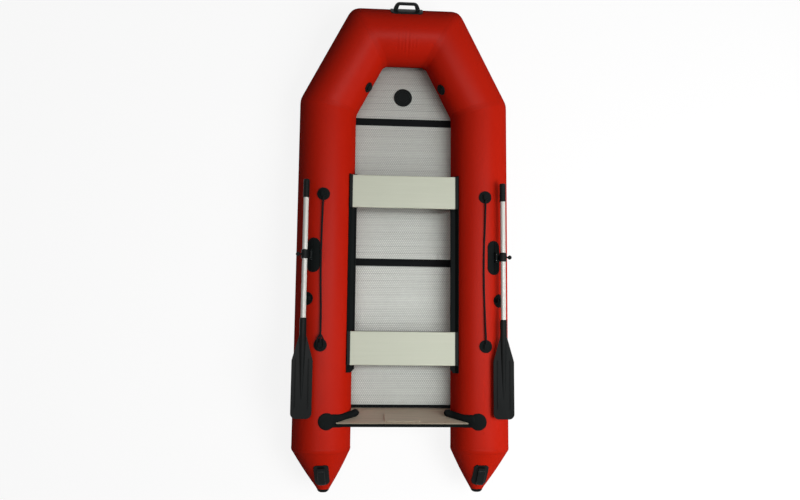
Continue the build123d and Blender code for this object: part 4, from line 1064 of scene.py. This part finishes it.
def studio():
    scene = bpy.context.scene
    scene.view_settings.view_transform = "Standard"
    world = bpy.data.worlds.new("studio")
    scene.world = world
    world.use_nodes = True
    tree = Tree(world.node_tree)
    background = world.node_tree.nodes["Background"]
    background.inputs["Color"].default_value = WHITE
    seen = sight(tree)
    tree.feed(background.inputs["Strength"], seen * (1.0 - WORLD_STRENGTH) + WORLD_STRENGTH)
    add_area_light("key", KEY_PLACE, KEY_SIZE, KEY_POWER, mirrored=False)
    add_area_light("top", TOP_PLACE, TOP_SIZE, TOP_POWER)
    add_area_light("sheen", TOP_PLACE, TOP_SIZE, SHEEN_POWER, diffuse=False)
    add_area_light("rim", RIM_PLACE, RIM_SIZE, RIM_POWER, mirrored=False)
    studio_floor()
    camera = bpy.data.cameras.new("camera")
    camera.lens = CAMERA_LENS
    camera.sensor_width = SENSOR_WIDTH
    camera_object = bpy.data.objects.new("camera", camera)
    scene.collection.objects.link(camera_object)
    camera_object.location = CAMERA_PLACE
    camera_object.rotation_euler = CAMERA_TURN
    scene.camera = camera_object


def studio_floor():
    half = FLOOR_SIZE / 2
    mesh = bpy.data.meshes.new("floor")
    corners = [(-half, -half, 0), (half, -half, 0), (half, half, 0), (-half, half, 0)]
    mesh.from_pydata(corners, [], [(0, 1, 2, 3)])
    paint = Paint("floor_white", {"Roughness": 0.9, "Specular IOR Level": 0.0})
    seen = sight(paint)
    paint.wire("Base Color", paint.mix(seen, FLOOR_COLOUR, FLOOR_SEEN))
    glow = paint.node("ShaderNodeEmission", {}, {"Color": WHITE, "Strength": 1.0})
    paint.cover(seen * FLOOR_GLOW, glow)
    mesh.materials.append(paint.material)
    floor = bpy.data.objects.new("floor", mesh)
    bpy.context.scene.collection.objects.link(floor)


# The boat

def dress(finishes, special):
    """Gives every solid the finish of its material slot, or its own where it has one."""
    slots = {part["node"]: part["material_slot"] for part in frame["record"]["subparts"]}
    for name, node in frame["nodes"].items():
        node.data.materials.clear()
        node.data.materials.append(special.get(name, finishes[slots[name]]))


studio()
finishes = {
    "red_pvc": red_fabric("red_pvc", (0.45, 0.013, 0.0035, 1), (0.37, 0.008, 0.002, 1), True),
    "hull_skin": red_fabric("hull_skin", (0.36, 0.009, 0.004, 1), (0.30, 0.006, 0.003, 1), False),
    "black_rubber": black_rubber("black_rubber", 0.0),
    "floor_aluminium": floor_metal(),
    "black_profile": profile_black(),
    "black_plastic": moulded_black("moulded_black", BLACK_DEEP, BLACK_LIGHT, 0.07),
    "plywood": transom_plywood(),
    "seat_finish": seat_paint(),
    "oar_shaft": shaft_white(),
    "steel": bright_steel(),
    "rope": black_rope(),
}
grab_lines(finishes["rope"])
blade = moulded_black("blade_black", BLACK_DEEP, (0.008, 0.009, 0.009, 1), 0.07)
handle = black_rubber("handle_rubber", 0.12)
dress(finishes, {"starboard_oar_blade": blade, "port_oar_blade": blade, "bow_handle": handle,
                 "side_handles": handle, "stern_handles": handle})
hull = Hull()
air_tubes(hull, finishes["red_pvc"])
tape = red_fabric("red_tape", (0.43, 0.0125, 0.0034, 1), (0.355, 0.0077, 0.002, 1), False)
seam_tapes(hull, tape)
cone_tips(tape, finishes["black_rubber"])
transom_holders(hull, finishes["black_rubber"])
trim_ends(finishes["black_rubber"])
narrow_trim(finishes["black_rubber"])
floor_studs(stud_metal())
seat_slats(finishes["seat_finish"])
